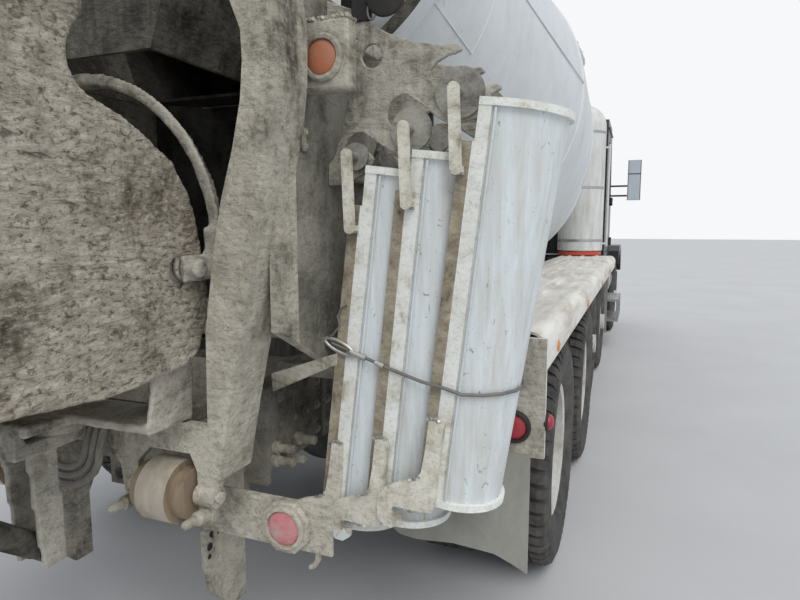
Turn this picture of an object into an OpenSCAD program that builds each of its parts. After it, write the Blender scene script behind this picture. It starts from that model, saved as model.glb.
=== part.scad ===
// Rear-discharge concrete mixer truck. Millimetres, +X forward, +Y to the left, +Z up.
// The origin is on the ground, midway between the chute's rear end and the front bumper.
// Positions along the truck are measured forward of the rear drive axle.

/* [Wheels] */
// Radius of a tyre
tyre_r = 510; // [500:5:515]
// Width of a tyre
tyre_w = 275; // [265:5:285]
// Radius of a rim flange
rim_r = 298; // [295:1:300]
// Distance between the two tyres of a twin wheel, centre to centre
twin_pitch = 330; // [320:5:335]
// Side distance of an outer drive tyre's centre
drive_y = 1083; // [1078:1:1088]
// Side distance of a pusher tyre's centre
pusher_y = 1020; // [1010:5:1030]
// Side distance of a front tyre's centre
steer_y = 1050; // [1040:5:1055]

/* [Chassis] */
// Height of the frame rails
rail_h = 270; // [250:5:275]
// Half the width over the frame rails
rail_y = 430; // [425:1:435]
// Length of the fenders over the rear wheels
fender_len = 5460; // [5450:10:5480]
// Height of the fenders' flat top
fender_top = 1195; // [1190:1:1200]

/* [Drum] */
// Largest radius of the drum
drum_r = 1100; // [1090:5:1105]
// Tilt of the drum's axis
drum_tilt = 12; // [12:0.5:12.5]
// Radius of the drum's mouth
mouth_r = 600; // [590:5:610]
// Thickness of the drum's shell
shell_t = 10; // [6:1:14]

/* [Chutes] */
// Width over the main chute's cheeks
chute_w = 840; // [830:5:845]
// Radius of an extension chute at its top
ext_r = 165; // [158:1:166]
// Radius of an extension chute at its lower end
ext_low_r = 132; // [128:1:134]

/* [Cab] */
// Half the width of the cab
cab_y = 1100; // [1095:5:1105]
// Height of the cab's roof above the ground
cab_top = 2800; // [2790:5:2810]
// Thickness of the cab's walls
cab_t = 50; // [45:5:50]

/* [Hidden] */
$fn = 48;

rear_x = -2500;
drive_x = [0, 1320];
pusher_x = [2700, 4050];
steer_x = 6700;
axle_z = tyre_r;
rail_z = 745;
rail_top = rail_z + rail_h;
rail_front = 7350;
rail_rear = -1180;
bumper_front = 7700;
run = 0.05;
gap = 0.3;

white = "whitesmoke";
crust = "darkgray";
dark = "dimgray";
black = [0.09, 0.09, 0.1];

module from_rear() { translate([rear_x, 0, 0]) children(); }
module both_sides() { children(); mirror([0, 1, 0]) children(); }
module side(s) { if (s > 0) children(); else mirror([0, 1, 0]) children(); }
module box(a, b) { translate(a) cube([b[0] - a[0], b[1] - a[1], b[2] - a[2]]); }
module rod_y(x, z, y0, y1, r) { translate([x, y0, z]) rotate([-90, 0, 0]) cylinder(h = y1 - y0, r = r); }
module plate_yz(x, t) { translate([x, 0, 0]) rotate([90, 0, 90]) linear_extrude(t) children(); }
module plate_xz(y, t) { translate([0, y + t, 0]) rotate([90, 0, 0]) linear_extrude(t) children(); }
function arc(c, r, from, to, n) = [for (i = [0:n]) let (a = from + (to - from) * i / n)
    c + r * [cos(a), sin(a)]];
module slot_2d(a, b, r) {
    turn = atan2(b[1] - a[1], b[0] - a[0]);
    polygon(concat(arc(b, r, turn - 90, turn + 90, 12), arc(a, r, turn + 90, turn + 270, 12)));
}

// Wheels, tyre and rim in one, lying across the truck
function tyre_profile(w) = [[rim_r - 8, -w * 0.36], [rim_r + 40, -w * 0.42], [rim_r + 110, -w * 0.5],
    [tyre_r - 50, -w * 0.49], [tyre_r - 14, -w * 0.44], [tyre_r, -w * 0.34],
    [tyre_r, w * 0.34], [tyre_r - 14, w * 0.44], [tyre_r - 50, w * 0.49],
    [rim_r + 110, w * 0.5], [rim_r + 40, w * 0.42], [rim_r - 8, w * 0.36]];
module tyre_ring(w) { rotate_extrude($fn = 72) polygon(tyre_profile(w)); }
stud_count = 10;
stud_ring_r = 143;
hub_bore_r = 60;
module rim_disc(z, dish) {
    barrel_r = rim_r - 28;
    difference() {
        union() {
            rotate_extrude($fn = 72) polygon([[barrel_r, -tyre_w * 0.36], [rim_r, -tyre_w * 0.38],
                [rim_r, -tyre_w * 0.34], [rim_r - 8, -tyre_w * 0.34], [rim_r - 8, tyre_w * 0.34],
                [rim_r, tyre_w * 0.34], [rim_r, tyre_w * 0.38], [barrel_r, tyre_w * 0.36]]);
            rotate_extrude($fn = 72) polygon([[hub_bore_r, z], [190, z], [barrel_r, z + dish],
                [barrel_r + 4, z + dish + 16], [190, z + 14], [hub_bore_r, z + 14]]);
        }
        for (k = [0:stud_count - 1]) rotate(36 * k + 18) translate([225, 0, z - 20])
            cylinder(h = 90, r = 24);
    }
}
module hub_cap(z, len, r) {
    translate([0, 0, z]) cylinder(h = len, r = r);
    translate([0, 0, z]) cylinder(h = 26, r = stud_ring_r + 24);
    for (k = [0:stud_count - 1]) rotate(36 * k) translate([stud_ring_r, 0, z + 20])
        cylinder(h = 26, r = 16, $fn = 6);
}

// A single wheel with a disc that bulges outward, its outer side towards +Y
module bulged_wheel() {
    rotate([-90, 0, 0]) {
        tyre_ring(tyre_w);
        rim_disc(70, -50);
        difference() { hub_cap(60, 100, 78); translate([0, 0, 59]) cylinder(h = 60, r = hub_r + run); }
    }
}
// A twin wheel, the outer disc deep inside its rim
module twin_wheel() {
    rotate([-90, 0, 0]) {
        tyre_ring(tyre_w);
        rim_disc(-95, 50);
        translate([0, 0, -twin_pitch]) tyre_ring(tyre_w);
        translate([0, 0, -twin_pitch]) mirror([0, 0, 1]) rim_disc(-95, 50);
        difference() {
            union() {
                hub_cap(-96, 170, 100);
                translate([0, 0, -twin_pitch + 80]) cylinder(h = twin_pitch - 160, r = stud_ring_r + 24);
            }
            translate([0, 0, -twin_pitch]) cylinder(h = twin_pitch + 30, r = hub_r + run);
        }
    }
}
hub_r = 55;

module wheel_at(x, y, s) { from_rear() side(s) translate([x, y, axle_z]) children(); }
module front_wheel(s) { color(black) wheel_at(steer_x, steer_y, s) bulged_wheel(); }
module pusher_wheel(x, s) { color(black) wheel_at(x, pusher_y, s) bulged_wheel(); }
module drive_wheel(x, s) { color(black) wheel_at(x, drive_y, s) twin_wheel(); }

// Chassis
module rail() {
    flange = 90;
    web = 10;
    plate_yz(rail_rear, rail_front - rail_rear) translate([rail_y - flange, rail_z]) difference() {
        square([flange, rail_h]);
        translate([-1, web]) square([flange - web + 1, rail_h - 2 * web]);
    }
}
cross_x = [-700, 520, 2060, 3400, 4700, 7200];
module tail_bracket() {
    plate_xz(330, 20) polygon([[-1180, 760], [-1180, 960], [-1404, 960], [-1404, 520], [-1380, 420],
        [-1290, 330], [-1220, 330], [-1220, 560], [-1180, 640]]);
}
lamp_plate_x = -1405;
hood_pivot = [7450, 900];
hood_pin_r = 15;
module hood_hinge() {
    plate_xz(400, 20) polygon([[7250, rail_z + 20], [7250, rail_top - 20], [7350, rail_top - 20],
        [7475, 930],
        [7475, 870], [7350, rail_z + 80]]);
    rod_y(hood_pivot[0], hood_pivot[1], 400, 608, hood_pin_r);
}
tow_y = 200;
tow_z = 645;
tow_r = 22;
module tow_plate() {
    plate_yz(rail_rear - 20, 20) difference() {
        union() {
            translate([-rail_y, 700]) square([2 * rail_y, rail_top - 700]);
            for (s = [-1, 1]) translate([s * tow_y - 40, tow_z - 40]) square([80, 100]);
        }
        for (s = [-1, 1]) translate([s * tow_y, tow_z]) circle(tow_r);
    }
}
module chassis_frame() {
    color(dark) from_rear() {
        both_sides() rail();
        for (x = cross_x) box([x, -rail_y + 10, rail_z + 85], [x + 90, rail_y - 10, rail_top - 40]);
        tow_plate();
        both_sides() tail_bracket();
        both_sides() box([lamp_plate_x, 340, 640], [lamp_plate_x + 10, 770, 780]);
        both_sides() hood_hinge();
    }
}

module front_bumper() {
    color("silver") from_rear() {
        difference() {
            union() {
                plate_xz(-1180, 2360) polygon([[rail_front + 60, 480], [bumper_front - 30, 480],
                    [bumper_front, 520], [bumper_front, 800], [bumper_front - 30, 830],
                        [rail_front + 60, 830],
                    [rail_front + 60, 815], [bumper_front - 35, 815], [bumper_front - 15, 795],
                    [bumper_front - 15, 525], [bumper_front - 35, 495], [rail_front + 60, 495]]);
                both_sides() box([rail_front, 350, rail_z], [bumper_front - 10, 395, 820]);
            }
            for (s = [-1, 1]) translate([bumper_front - 40, s * 420, 640]) rotate([0, 90, 0])
                cylinder(h = 60, r = 35);
        }
    }
}

spindle_y = 800;
king_y = 890;
king_r = 24;
spring_x = [-620, 620];
spring_z = 548;
leaf_t = 14;
spring_w = 75;
module leaf_spring() {
    for (k = [0:3]) box([steer_x - 620 + 130 * k, rail_y, spring_z + leaf_t * k],
        [steer_x + 620 - 130 * k, rail_y + spring_w, spring_z + leaf_t * (k + 1)]);
}
module front_axle() {
    color(black) from_rear() {
        both_sides() {
            leaf_spring();
            for (e = spring_x) box([steer_x + e - 20, rail_y, spring_z],
                [steer_x + e + 20, rail_y + 45, rail_z + 90]);
            difference() {
                translate([steer_x, king_y, axle_z - 70]) cylinder(h = 140, r = 52);
                translate([steer_x, king_y, axle_z - 71]) cylinder(h = 142, r = king_r + run);
            }
            box([steer_x - 45, 600, axle_z - 60], [steer_x + 45, king_y - 35, axle_z + 40]);
        }
        box([steer_x - 45, -610, axle_z - 90], [steer_x + 45, 610, axle_z - 20]);
        both_sides() box([steer_x - 60, rail_y, axle_z - 30], [steer_x + 60, rail_y + spring_w, spring_z]);
    }
}

module knuckle(s) {
    color(dark) from_rear() side(s) translate([steer_x, 0, axle_z]) {
        translate([0, king_y, -104]) cylinder(h = 208, r = king_r);
        for (z = [-104, 76]) translate([0, king_y, z]) cylinder(h = 28, r = 50);
        box([-40, king_y + 56, -104], [40, king_y + 76, 104]);
        for (z = [-104, 76]) box([-40, king_y, z], [40, king_y + 76, z + 28]);
        rod_y(0, 0, king_y + 60, steer_y + 118, hub_r);
        box([-210, king_y + 10, -100], [-30, king_y + 40, -80]);
    }
}

module axle_tube(x, y1, r, bowl_r) {
    rod_y(x, axle_z, -y1 + 290, y1 - 290, r);
    rod_y(x, axle_z, -y1, y1, hub_r);
    if (bowl_r > 0) {
        translate([x, 0, axle_z]) sphere(bowl_r);
        translate([x, 0, axle_z]) rotate([0, 90, 0]) cylinder(h = bowl_r + 60, r = 110);
    }
}
module rear_axles() {
    color(black) from_rear() {
        for (x = drive_x) axle_tube(x, drive_y + 20, 75, 210);
        for (x = pusher_x) axle_tube(x, pusher_y + 118, 60, 0);
        both_sides() {
            plate_xz(395, 60) polygon([[-120, 560], [120, 560], [560, 640], [760, 640], [1200, 560],
                [1440, 560], [1440, 600], [820, rail_z], [500, rail_z], [-120, 600]]);
            for (x = pusher_x) {
                box([x - 60, 395, axle_z + 50], [x + 60, 455, 620]);
                translate([x, 425, 620]) cylinder(h = rail_z - 620, r = 90);
            }
        }
    }
}

module powertrain() {
    color(dark) from_rear() {
        box([5740, -330, 640], [6290, 330, 1100]);
        box([6290, -330, 640], [7000, 330, 1500]);
        translate([5100, 0, 800]) rotate([0, 90, 0]) cylinder(h = 650, r = 200);
        translate([1610, 0, 640]) rotate([0, 88, 0]) cylinder(h = 3530, r = 50);
        box([1590, -60, 560], [1630, 60, 720]);
        translate([7000, 0, 1150]) rotate([0, 90, 0]) cylinder(h = 101, r = 60);
        box([7100, -440, rail_top + 5], [7190, 440, 1500]);
    }
}

// Cab: the side outline with the door opening, roof and floor
cab_x0 = 4960;
cab_x1 = 6240;
cab_floor = 1150;
sill_z = 1790;
door_x0 = 5130;
door_x1 = 6090;
head_z = 2640;
module cab_outline() {
    polygon([[cab_x0, cab_floor], [cab_x0, cab_top - 60], [cab_x0 + 60, cab_top], [5800, cab_top],
        [5880, cab_top - 40], [cab_x1, sill_z], [cab_x1, cab_floor]]);
}
module cab_inside() {
    polygon([[cab_x0 + cab_t, cab_floor + 60], [cab_x0 + cab_t, cab_top - 90],
        [cab_x0 + 90, cab_top - cab_t], [5785, cab_top - cab_t], [5840, cab_top - 75],
        [cab_x1 - cab_t, sill_z - 10], [cab_x1 - cab_t, cab_floor + 60]]);
}
module door_outline() {
    polygon([[door_x0, cab_floor + 60], [door_x0, head_z], [5820, head_z], [door_x1, 1990],
        [door_x1, cab_floor + 60]]);
}
module door_window() {
    polygon([[door_x0 + 80, sill_z], [door_x0 + 80, head_z - 70], [5760, head_z - 70],
        [door_x1 - 70, 1960], [door_x1 - 70, sill_z + 30], [5560, sill_z]]);
}
module windscreen_hole() {
    // Two panes lie in the sloping front
    for (s = [-1, 1]) side(s) translate([6073, 40, 2240]) rotate([0, -20.4, 0])
        translate([-150, 0, -370]) cube([300, 930, 740]);
}
module cab_shell() {
    color(black) from_rear() {
        difference() {
            plate_xz(-cab_y, 2 * cab_y) cab_outline();
            plate_xz(-cab_y + cab_t, 2 * cab_y - 2 * cab_t) cab_inside();
            for (s = [-1, 1]) side(s) plate_xz(cab_y - cab_t - 1, cab_t + 2) door_outline();
            windscreen_hole();
            box([cab_x0 - 10, -700, 1900], [cab_x0 + cab_t + 10, 700, 2560]);
        }
        both_sides() box([cab_x0 + 100, 350, rail_top], [5700, 420, cab_floor]);
        both_sides() door_lugs();
    }
}
glass_t = 6;
module cab_glass() {
    color([0.3, 0.35, 0.38, 0.4]) from_rear() {
        box([cab_x0 + 20, -700, 1900], [cab_x0 + 20 + glass_t, 700, 2560]);
        intersection() {
            windscreen_hole();
            translate([6073, 0, 2240]) rotate([0, -20.4, 0]) translate([-30, -1100, -500])
                cube([glass_t, 2200, 1000]);
        }
    }
}
door_hinge = [6092, 1116];
door_hinge_z = [1300, 1840];
door_hinge_h = 60;
door_pin_r = 8;
knuckle_r = 14;
module door_lugs() {
    for (z = door_hinge_z) {
        for (e = [z - 24, z + door_hinge_h + gap]) {
            translate([door_hinge[0], door_hinge[1], e]) cylinder(h = 24 - gap, r = knuckle_r);
            box([door_hinge[0], cab_y - 1, e], [door_hinge[0] + 50, door_hinge[1], e + 24 - gap]);
        }
        translate([door_hinge[0], door_hinge[1], z - 24]) cylinder(h = door_hinge_h + 48, r = door_pin_r);
    }
}
module door(s) {
    color(black) from_rear() side(s) {
        clear = 5;
        difference() {
            plate_xz(cab_y - cab_t, cab_t) offset(delta = -clear) door_outline();
            plate_xz(cab_y - cab_t - 1, cab_t + 2) door_window();
            box([door_x0 + 60, cab_y - 10, 1560], [door_x0 + 220, cab_y + 1, 1640]);
        }
        box([door_x0 + 70, cab_y - 10, 1590], [door_x0 + 210, cab_y + 8, 1610]);
        difference() {
            for (z = door_hinge_z) {
                translate([door_hinge[0], door_hinge[1], z]) cylinder(h = door_hinge_h, r = knuckle_r);
                box([door_hinge[0] - 70, cab_y - 1, z], [door_hinge[0], door_hinge[1], z + door_hinge_h]);
            }
            translate([door_hinge[0], door_hinge[1], 1200]) cylinder(h = 800, r = door_pin_r + run);
            box([door_x1 - 5, cab_y - 2, 1200], [door_hinge[0] + 20, cab_y + 0.6, 2000]);
        }
    }
}
module door_glass(s) {
    color([0.3, 0.35, 0.38, 0.4]) from_rear() side(s)
        plate_xz(cab_y - cab_t / 2 - glass_t / 2, glass_t) door_window();
}
module seats() {
    color(dark) from_rear() for (y = [-480, 480]) {
        box([5250, y - 240, cab_floor + 60], [5640, y + 240, 1430]);
        box([5220, y - 260, 1430], [5680, y + 260, 1530]);
        plate_xz(y - 250, 500) polygon([[5220, 1530], [5100, 2280], [5200, 2280], [5330, 1530]]);
        box([5100, y - 130, 2280], [5180, y + 130, 2460]);
    }
}
module dashboard() {
    color(black) from_rear() {
        plate_xz(-1000, 2000) polygon([[5860, 1520], [5840, 1700], [5900, 1770], [cab_x1 - cab_t, 1770],
            [cab_x1 - cab_t, 1520]]);
        translate([5860, 480, 1680]) rotate([0, -60, 0]) {
            cylinder(h = 190, r = 28);
            translate([0, 0, 190]) {
                rotate_extrude() translate([210, 0]) circle(15, $fn = 24);
                for (a = [90, 210, 330]) rotate(a) box([0, -18, -8], [200, 18, 8]);
                translate([0, 0, -10]) cylinder(h = 22, r = 60);
            }
        }
    }
}

// Hood with its front fenders, tilting forward
hood_x0 = 6250;
hood_x1 = 7520;
hood_t = 25;
module hood_section(inset) {
    polygon([[-620 + inset, 1080], [-660 + inset, 1560], [-600 + inset, 1740 - inset],
        [-480, 1800 - inset],
        [480, 1800 - inset], [600 - inset, 1740 - inset], [660 - inset, 1560], [620 - inset, 1080]]);
}
module hood_top() {
    // Trims the hood down towards its nose
    plate_xz(-1300, 2600) polygon([[hood_x0 - 10, 0], [hood_x0 - 10, 1790], [7380, 1660], [hood_x1, 1560],
        [hood_x1, 0]]);
}
module hood_cavity() {
    plate_xz(-1300, 2600) polygon([[hood_x0 - 20, 0], [hood_x0 - 20, 1765], [7370, 1635],
        [hood_x1 - hood_t, 1545],
        [hood_x1 - hood_t, 0]]);
}
fender_y0 = 615;
fender_y1 = 1235;
arch_r = 625;
lamp_box = [[7400, 790, 900], [7482, 1140, 1050]];
module front_fender() {
    difference() {
        plate_xz(fender_y0, fender_y1 - fender_y0) polygon([[hood_x0 + 5, 990], [hood_x0 + 5, 1190],
            [6420, 1262],
            [7000, 1262], [7300, 1190], [7430, 1080], [7470, 860], [7200, 860]]);
        rod_y(steer_x, axle_z + 60, fender_y0 - 1, fender_y1 + 1, arch_r);
        box(lamp_box[0], lamp_box[1]);
    }
}
module hood() {
    color(black) from_rear() {
        difference() {
            intersection() { plate_yz(hood_x0, hood_x1 - hood_x0) hood_section(0); hood_top(); }
            intersection() {
                plate_yz(hood_x0 - 1, hood_x1 - hood_x0 - hood_t) hood_section(hood_t);
                hood_cavity();
            }
            box([hood_x0 - 5, -1300, 1000], [hood_x1 + 5, 1300, 1080.5]);
            box([hood_x1 - 40, -470, 1090], [hood_x1 + 10, 470, 1540]);
        }
        both_sides() front_fender();
        both_sides() difference() {
            plate_xz(565, 45) polygon([[7410, 870], [7410, 1120], [7490, 1120], [7490, 870]]);
            rod_y(hood_pivot[0], hood_pivot[1], 560, 611, hood_pin_r + run);
        }
    }
}
module grille() {
    color("silver") from_rear() {
        box([hood_x1 - 20, -470, 1090], [hood_x1 + 15, -440, 1540]);
        box([hood_x1 - 20, 440, 1090], [hood_x1 + 15, 470, 1540]);
        for (z = [1090:48:1520]) box([hood_x1 - 20, -445, z], [hood_x1 + 15, 445, z + 18]);
        box([hood_x1 - 20, -12, 1090], [hood_x1 + 15, 12, 1540]);
    }
}
module headlamps() {
    color([0.85, 0.88, 0.9]) from_rear() both_sides() box(lamp_box[0], lamp_box[1]);
}

// Tanks, steps, stack, mirrors
tank_r = 290;
tank_z = 850;
module fuel_tanks() {
    color("silver") from_rear() both_sides() {
        translate([5000, 870, tank_z]) rotate([0, 90, 0]) cylinder(h = 900, r = tank_r);
        for (x = [5150, 5700]) translate([x, 870, tank_z]) rotate([0, 90, 0])
            cylinder(h = 40, r = tank_r + 8);
        for (x = [5150, 5700]) box([x, rail_y, 880], [x + 40, 600, 980]);
    }
}
module cab_steps() {
    color("silver") from_rear() both_sides() {
        for (z = [360, 610]) box([5080, 1080, z], [5880, 1290, z + 26]);
        for (x = [5080, 5864]) {
            box([x, 1262, 360], [x + 16, 1290, 636]);
            difference() {
                box([x, 1040, 360], [x + 16, 1090, tank_z - 190]);
                translate([x - 1, 870, tank_z]) rotate([0, 90, 0]) cylinder(h = 20, r = tank_r + gap);
            }
        }
    }
}
module exhaust_stack() {
    color("silver") from_rear() {
        translate([4800, 900, 1180]) cylinder(h = 1300, r = 110);
        translate([4800, 900, 2480]) cylinder(h = 1050, r = 64);
        translate([4800, 900, 1050]) cylinder(h = 130, r = 64);
        box([4760, 500, 1040], [4840, 900, 1110]);
        box([4770, rail_y, 930], [4830, 560, 1100]);
    }
}
mirror_arms = [[6125, 1950], [6112, 2080]];
module mirrors() {
    color(black) from_rear() both_sides() {
        box([6080, 1310, 1890], [6180, 1480, 2420]);
        for (a = mirror_arms) {
            translate([a[0], cab_y, a[1]]) rotate([-90, 0, 0]) cylinder(h = 212, r = 12);
        }
    }
}

// Fenders over the rear wheels
lip_y = 1250;
fender_in = 665;
fender_t = 8;
fender_rear = -860;
fender_front = fender_rear + fender_len;
fender_posts = [fender_rear + 160, 2060, fender_front - 60];
module fender_section() {
    difference() {
        union() {
            translate([fender_in, fender_top - fender_t]) square([lip_y - 60 - fender_in, fender_t]);
            intersection() {
                translate([lip_y - 60, fender_top - 60]) circle(60);
                translate([lip_y - 60, fender_top - 60]) square([60, 60]);
            }
            translate([lip_y - fender_t, fender_top - 120]) square([fender_t, 60]);
            for (y = [760, 900, 1040]) translate([y, fender_top - fender_t]) square([26, fender_t + 10]);
        }
        intersection() {
            translate([lip_y - 60, fender_top - 60]) circle(60 - fender_t);
            translate([lip_y - 60, fender_top - 60]) square([60, 60]);
        }
    }
}
module fenders() {
    color(white) from_rear() both_sides() {
        plate_yz(fender_rear, fender_len) fender_section();
        difference() {
            box([fender_rear - 20, fender_in, 790], [fender_rear, lip_y, fender_top - 18]);
            box([fender_rear - 21, fender_in - 1, 780], [fender_rear + 1, 1000, 1000]);
        }
        for (x = fender_posts) box([x, rail_y, 960], [x + 60, fender_in + 60, 1010]);
        for (x = fender_posts) box([x, fender_in, 960], [x + 60, fender_in + 30, fender_top - fender_t]);
    }
}
module mudflaps() {
    color(crust) from_rear() both_sides() {
        plate_yz(fender_rear - 30, 10) polygon([[670, 1030], [670, 520], [760, 450], [820, 442],
            [957, 454],
            [1098, 445], [1157, 422], [1208, 397], [1208, 800], [1000, 800], [1000, 1030]]);
        plate_yz(fender_front - 10, 10) polygon([[780, fender_top - fender_t], [780, 300], [1180, 300],
            [1180, fender_top - fender_t]]);
    }
}
water_r = 250;
water_y = 850;
module water_tank() {
    color(white) from_rear() {
        translate([4560, -water_y, 1260]) cylinder(h = 1380, r = water_r);
        translate([4560, -water_y, 2639]) rotate_extrude() intersection()
            { circle(water_r - 1); square(water_r); }
        translate([4560, -water_y, fender_top + 10]) cylinder(h = 56, r = water_r - 30);
        box([4640, -1040, fender_top], [4760, -rail_y + 5, fender_top + 10]);
        box([4680, -rail_y - 5, rail_top], [4740, -rail_y + 60, fender_top + 10]);
        translate([4560, -water_y, 0]) rotate(-51) {
            for (z = [1330, 2440]) translate([water_r - 10, 0, z]) rotate([0, 90, 0])
                cylinder(h = 120, r = 12);
            translate([water_r + 110, 0, 1300]) cylinder(h = 1180, r = 15);
        }
    }
}

// Drum and what carries it. drum_frame puts +Z along the drum's axis, up and to the rear.
drum_x = 2200;
drum_z = 2350;
head_s = -1600;
neck_s = 3100;
ring_s = 2450;
ring_r = mouth_r + 170;
ring_w = 90;
roller_r = 125;
roller_angle = 35;
module drum_frame() { translate([rear_x + drum_x, 0, drum_z]) rotate([0, -90 + drum_tilt, 0]) children(); }
function drum_outer(d) = [[900 - d, head_s + d], [drum_r - d, -400], [drum_r - d, 400],
    [mouth_r + 190 - d, ring_s - 400], [mouth_r - d, neck_s]];
fin_count = 14;
module drum() {
    color(white) drum_frame() {
        difference() {
            rotate_extrude($fn = 96) polygon(concat([[0, head_s]], drum_outer(0), [[0, neck_s]]));
            rotate_extrude($fn = 96) polygon([[0, 1800], [mouth_r + 190 - shell_t, 1800],
                [mouth_r + 190 - shell_t, ring_s - 400], [mouth_r - shell_t, neck_s + 1],
                    [0, neck_s + 1]]);
        }
        rotate_extrude($fn = 96) polygon([[mouth_r + 20, ring_s - ring_w / 2],
            [ring_r, ring_s - ring_w / 2],
            [ring_r, ring_s + ring_w / 2], [mouth_r + 20, ring_s + ring_w / 2]]);
        rotate_extrude($fn = 96) polygon([[mouth_r - 5, neck_s - 30], [mouth_r + 30, neck_s - 30],
            [mouth_r + 30, neck_s], [mouth_r - 5, neck_s]]);
        translate([0, 0, head_s - 120]) cylinder(h = 121, r1 = 420, r2 = 800, $fn = 96);
        translate([0, 0, head_s - 180]) cylinder(h = 61, r = 250);
    }
}
roller_off = ring_r + roller_r + gap + 0.4;
module roller_place(s) {
    drum_frame() side(s) rotate(90) rotate(90 - roller_angle) translate([roller_off, 0, ring_s])
        children();
}
module roller(s) {
    color(dark) roller_place(s) difference() {
        translate([0, 0, -60]) cylinder(h = 120, r = roller_r);
        translate([0, 0, -61]) cylinder(h = 122, r = 30 + run);
    }
}
module drum_gearbox() {
    color("steelblue") drum_frame() {
        translate([0, 0, head_s - 200]) cylinder(h = 20 - gap, r = 240);
        translate([0, 0, head_s - 430]) cylinder(h = 231, r = 200);
        translate([0, 0, head_s - 560]) cylinder(h = 131, r = 110);
    }
    color("steelblue") from_rear() both_sides() box([4110, 150, 1900], [4190, 232, 1960]);
}
module front_pedestal() {
    color(white) from_rear() {
        both_sides() plate_xz(210, 20) polygon([[3640, rail_top], [4500, rail_top], [4330, 1900],
            [4100, 1900],
            [3920, 1780]]);
        plate_yz(4105, 20) polygon([[-230, rail_top], [230, rail_top], [230, 1700], [-230, 1700]]);
        both_sides() box([3640, 210, rail_top], [4500, 400, rail_top + 20]);
    }
}

// Rear pedestal: side legs, the wings at the back, and the band that joins them
wing_x = -1500;
wing_t = 24;
leg_y = 620;
leg_t = 40;
bumper_y = 322;
bumper_z = 800;
bumper_pin_r = 16;
swivel_x = -1600;
seat_z = 1000;
king_post_r = 30;
wing_outer = [[-690, 2100], [-703, 2000], [-700, 1880], [-690, 1797], [-656, 1635], [-629, 1491],
    [-582, 1263],
    [-533, 1049], [-493, 851]];
wing_flange = 130;
wing_flange_t = 12;
module wing_2d() {
    polygon(concat([[0, seat_z], [-462, seat_z], [-468, 1255], [-503, 1464], [-531, 1590], [-569, 1710],
        [-597, 1827], [-606, 1919], [-603, 1988], [-574, 2059], [-520, 2160], [-560, 2230], [-640, 2230]],
        wing_outer, [[-465, 730], [-425, 730], [-421, 868], [-400, 915], [-260, 915],
        [-215, 870], [-205, 740], [-165, 740], [-150, 850], [-90, 900], [0, 900]]));
}
module wing() {
    plate_yz(wing_x - wing_t / 2, wing_t) wing_2d();
    plate_yz(wing_x, wing_flange) polygon(concat(wing_outer,
        [for (i = [len(wing_outer) - 1:-1:0]) wing_outer[i] + [wing_flange_t, 0]]));
    mirror([0, 1, 0]) {
        rod_y(wing_x, bumper_z, 175, 490, bumper_pin_r);
        rod_y(wing_x, bumper_z, 180, 230, 30);
        rod_y(wing_x, bumper_z, 418, 480, 30);
    }
}
leg_top = 2160;
module from_frame() { translate([-rear_x, 0, 0]) children(); }
module side_leg() {
    difference() {
        plate_xz(leg_y, leg_t) polygon([[-1440, 1250], [-1440, 2100], [-1320, leg_top],
            [-560, leg_top], [-250, 2060],
            [-150, rail_top], [-1000, rail_top]]);
        from_frame() roller_place(1) translate([0, 0, -100]) cylinder(h = 200, r = roller_r + 10);
    }
}
module rear_pedestal() {
    color(crust) from_rear() {
        both_sides() {
            wing();
            side_leg();
            box([-1000, 350, rail_top], [-150, leg_y + 10, rail_top + 40]);
            box([wing_x + wing_t / 2 - 1, leg_y - 30, 1600], [-1400, leg_y + 10, 2100]);
        }
        box([-1180, -leg_y - 10, 1180], [-1080, leg_y + 10, 1280]);
        plate_yz(-492, 12) polygon([[-leg_y - 10, rail_top + 20], [-leg_y - 10, 2150], [-400, 2150],
            [-360, 2050], [360, 2050], [400, 2150], [leg_y + 10, 2150], [leg_y + 10, rail_top + 20]]);
        for (s = [-1, 1]) box([wing_x, s * 300 - 20, seat_z - 80], [rail_rear - 20, s * 300 + 20, seat_z]);
        box([-1250, -330, 940], [rail_rear - 20, 330, 1100]);
        translate([swivel_x, 0, seat_z - 30]) cylinder(h = 30, r = 95);
        box([swivel_x, -70, seat_z - 30], [wing_x, 70, seat_z]);
        translate([swivel_x, 0, seat_z - 65]) cylinder(h = 95, r = king_post_r);
    }
    color(crust) for (s = [-1, 1]) roller_place(s) {
        translate([0, 0, -95]) cylinder(h = 190, r = 30);
        for (z = [-95, 66]) translate([-38, -60, z]) cube([238, 110, 28]);
    }
}

module bumper_roller(s) {
    color("tan") from_rear() side(s) difference() {
        union() {
            rod_y(wing_x, bumper_z, bumper_y - 85, bumper_y + 85, 70);
            rod_y(wing_x, bumper_z, bumper_y - 50, bumper_y + 50, 88);
        }
        rod_y(wing_x, bumper_z, 0, 600, bumper_pin_r + run);
    }
}

// Hoppers
module charge_hopper() {
    color(white) from_rear() {
        difference() {
            plate_yz(-1300, 540) polygon([[-520, 3960], [520, 3960], [300, 3150], [-300, 3150]]);
            plate_yz(-1280, 500) polygon([[-500, 3961], [500, 3961], [285, 3149], [-285, 3149]]);
        }
        both_sides() {
            box([-1170, leg_y, leg_top], [-1100, leg_y + leg_t, 3700]);
            box([-1170, 430, 3600], [-1100, leg_y + 1, 3700]);
        }
    }
}
module discharge_hopper() {
    color(crust) from_rear() {
        difference() {
            plate_yz(-1480, 560) polygon([[-560, 2700], [560, 2700], [300, 1985], [-300, 1985]]);
            plate_yz(-1465, 600) polygon([[-545, 2701], [545, 2701], [285, 1984], [-285, 1984]]);
        }
        both_sides() box([-1300, 500, 2500], [-1240, leg_y + 10, 2560]);
        both_sides() box([-1300, leg_y, leg_top], [-1240, leg_y + leg_t, 2560]);
    }
}

// Chute rack: a plate with three hook slots behind the chutes and its like in front of them
hang_x = -1060;
rack_x = -1190;
rack_t = 14;
rack_in = leg_y + leg_t;
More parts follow.
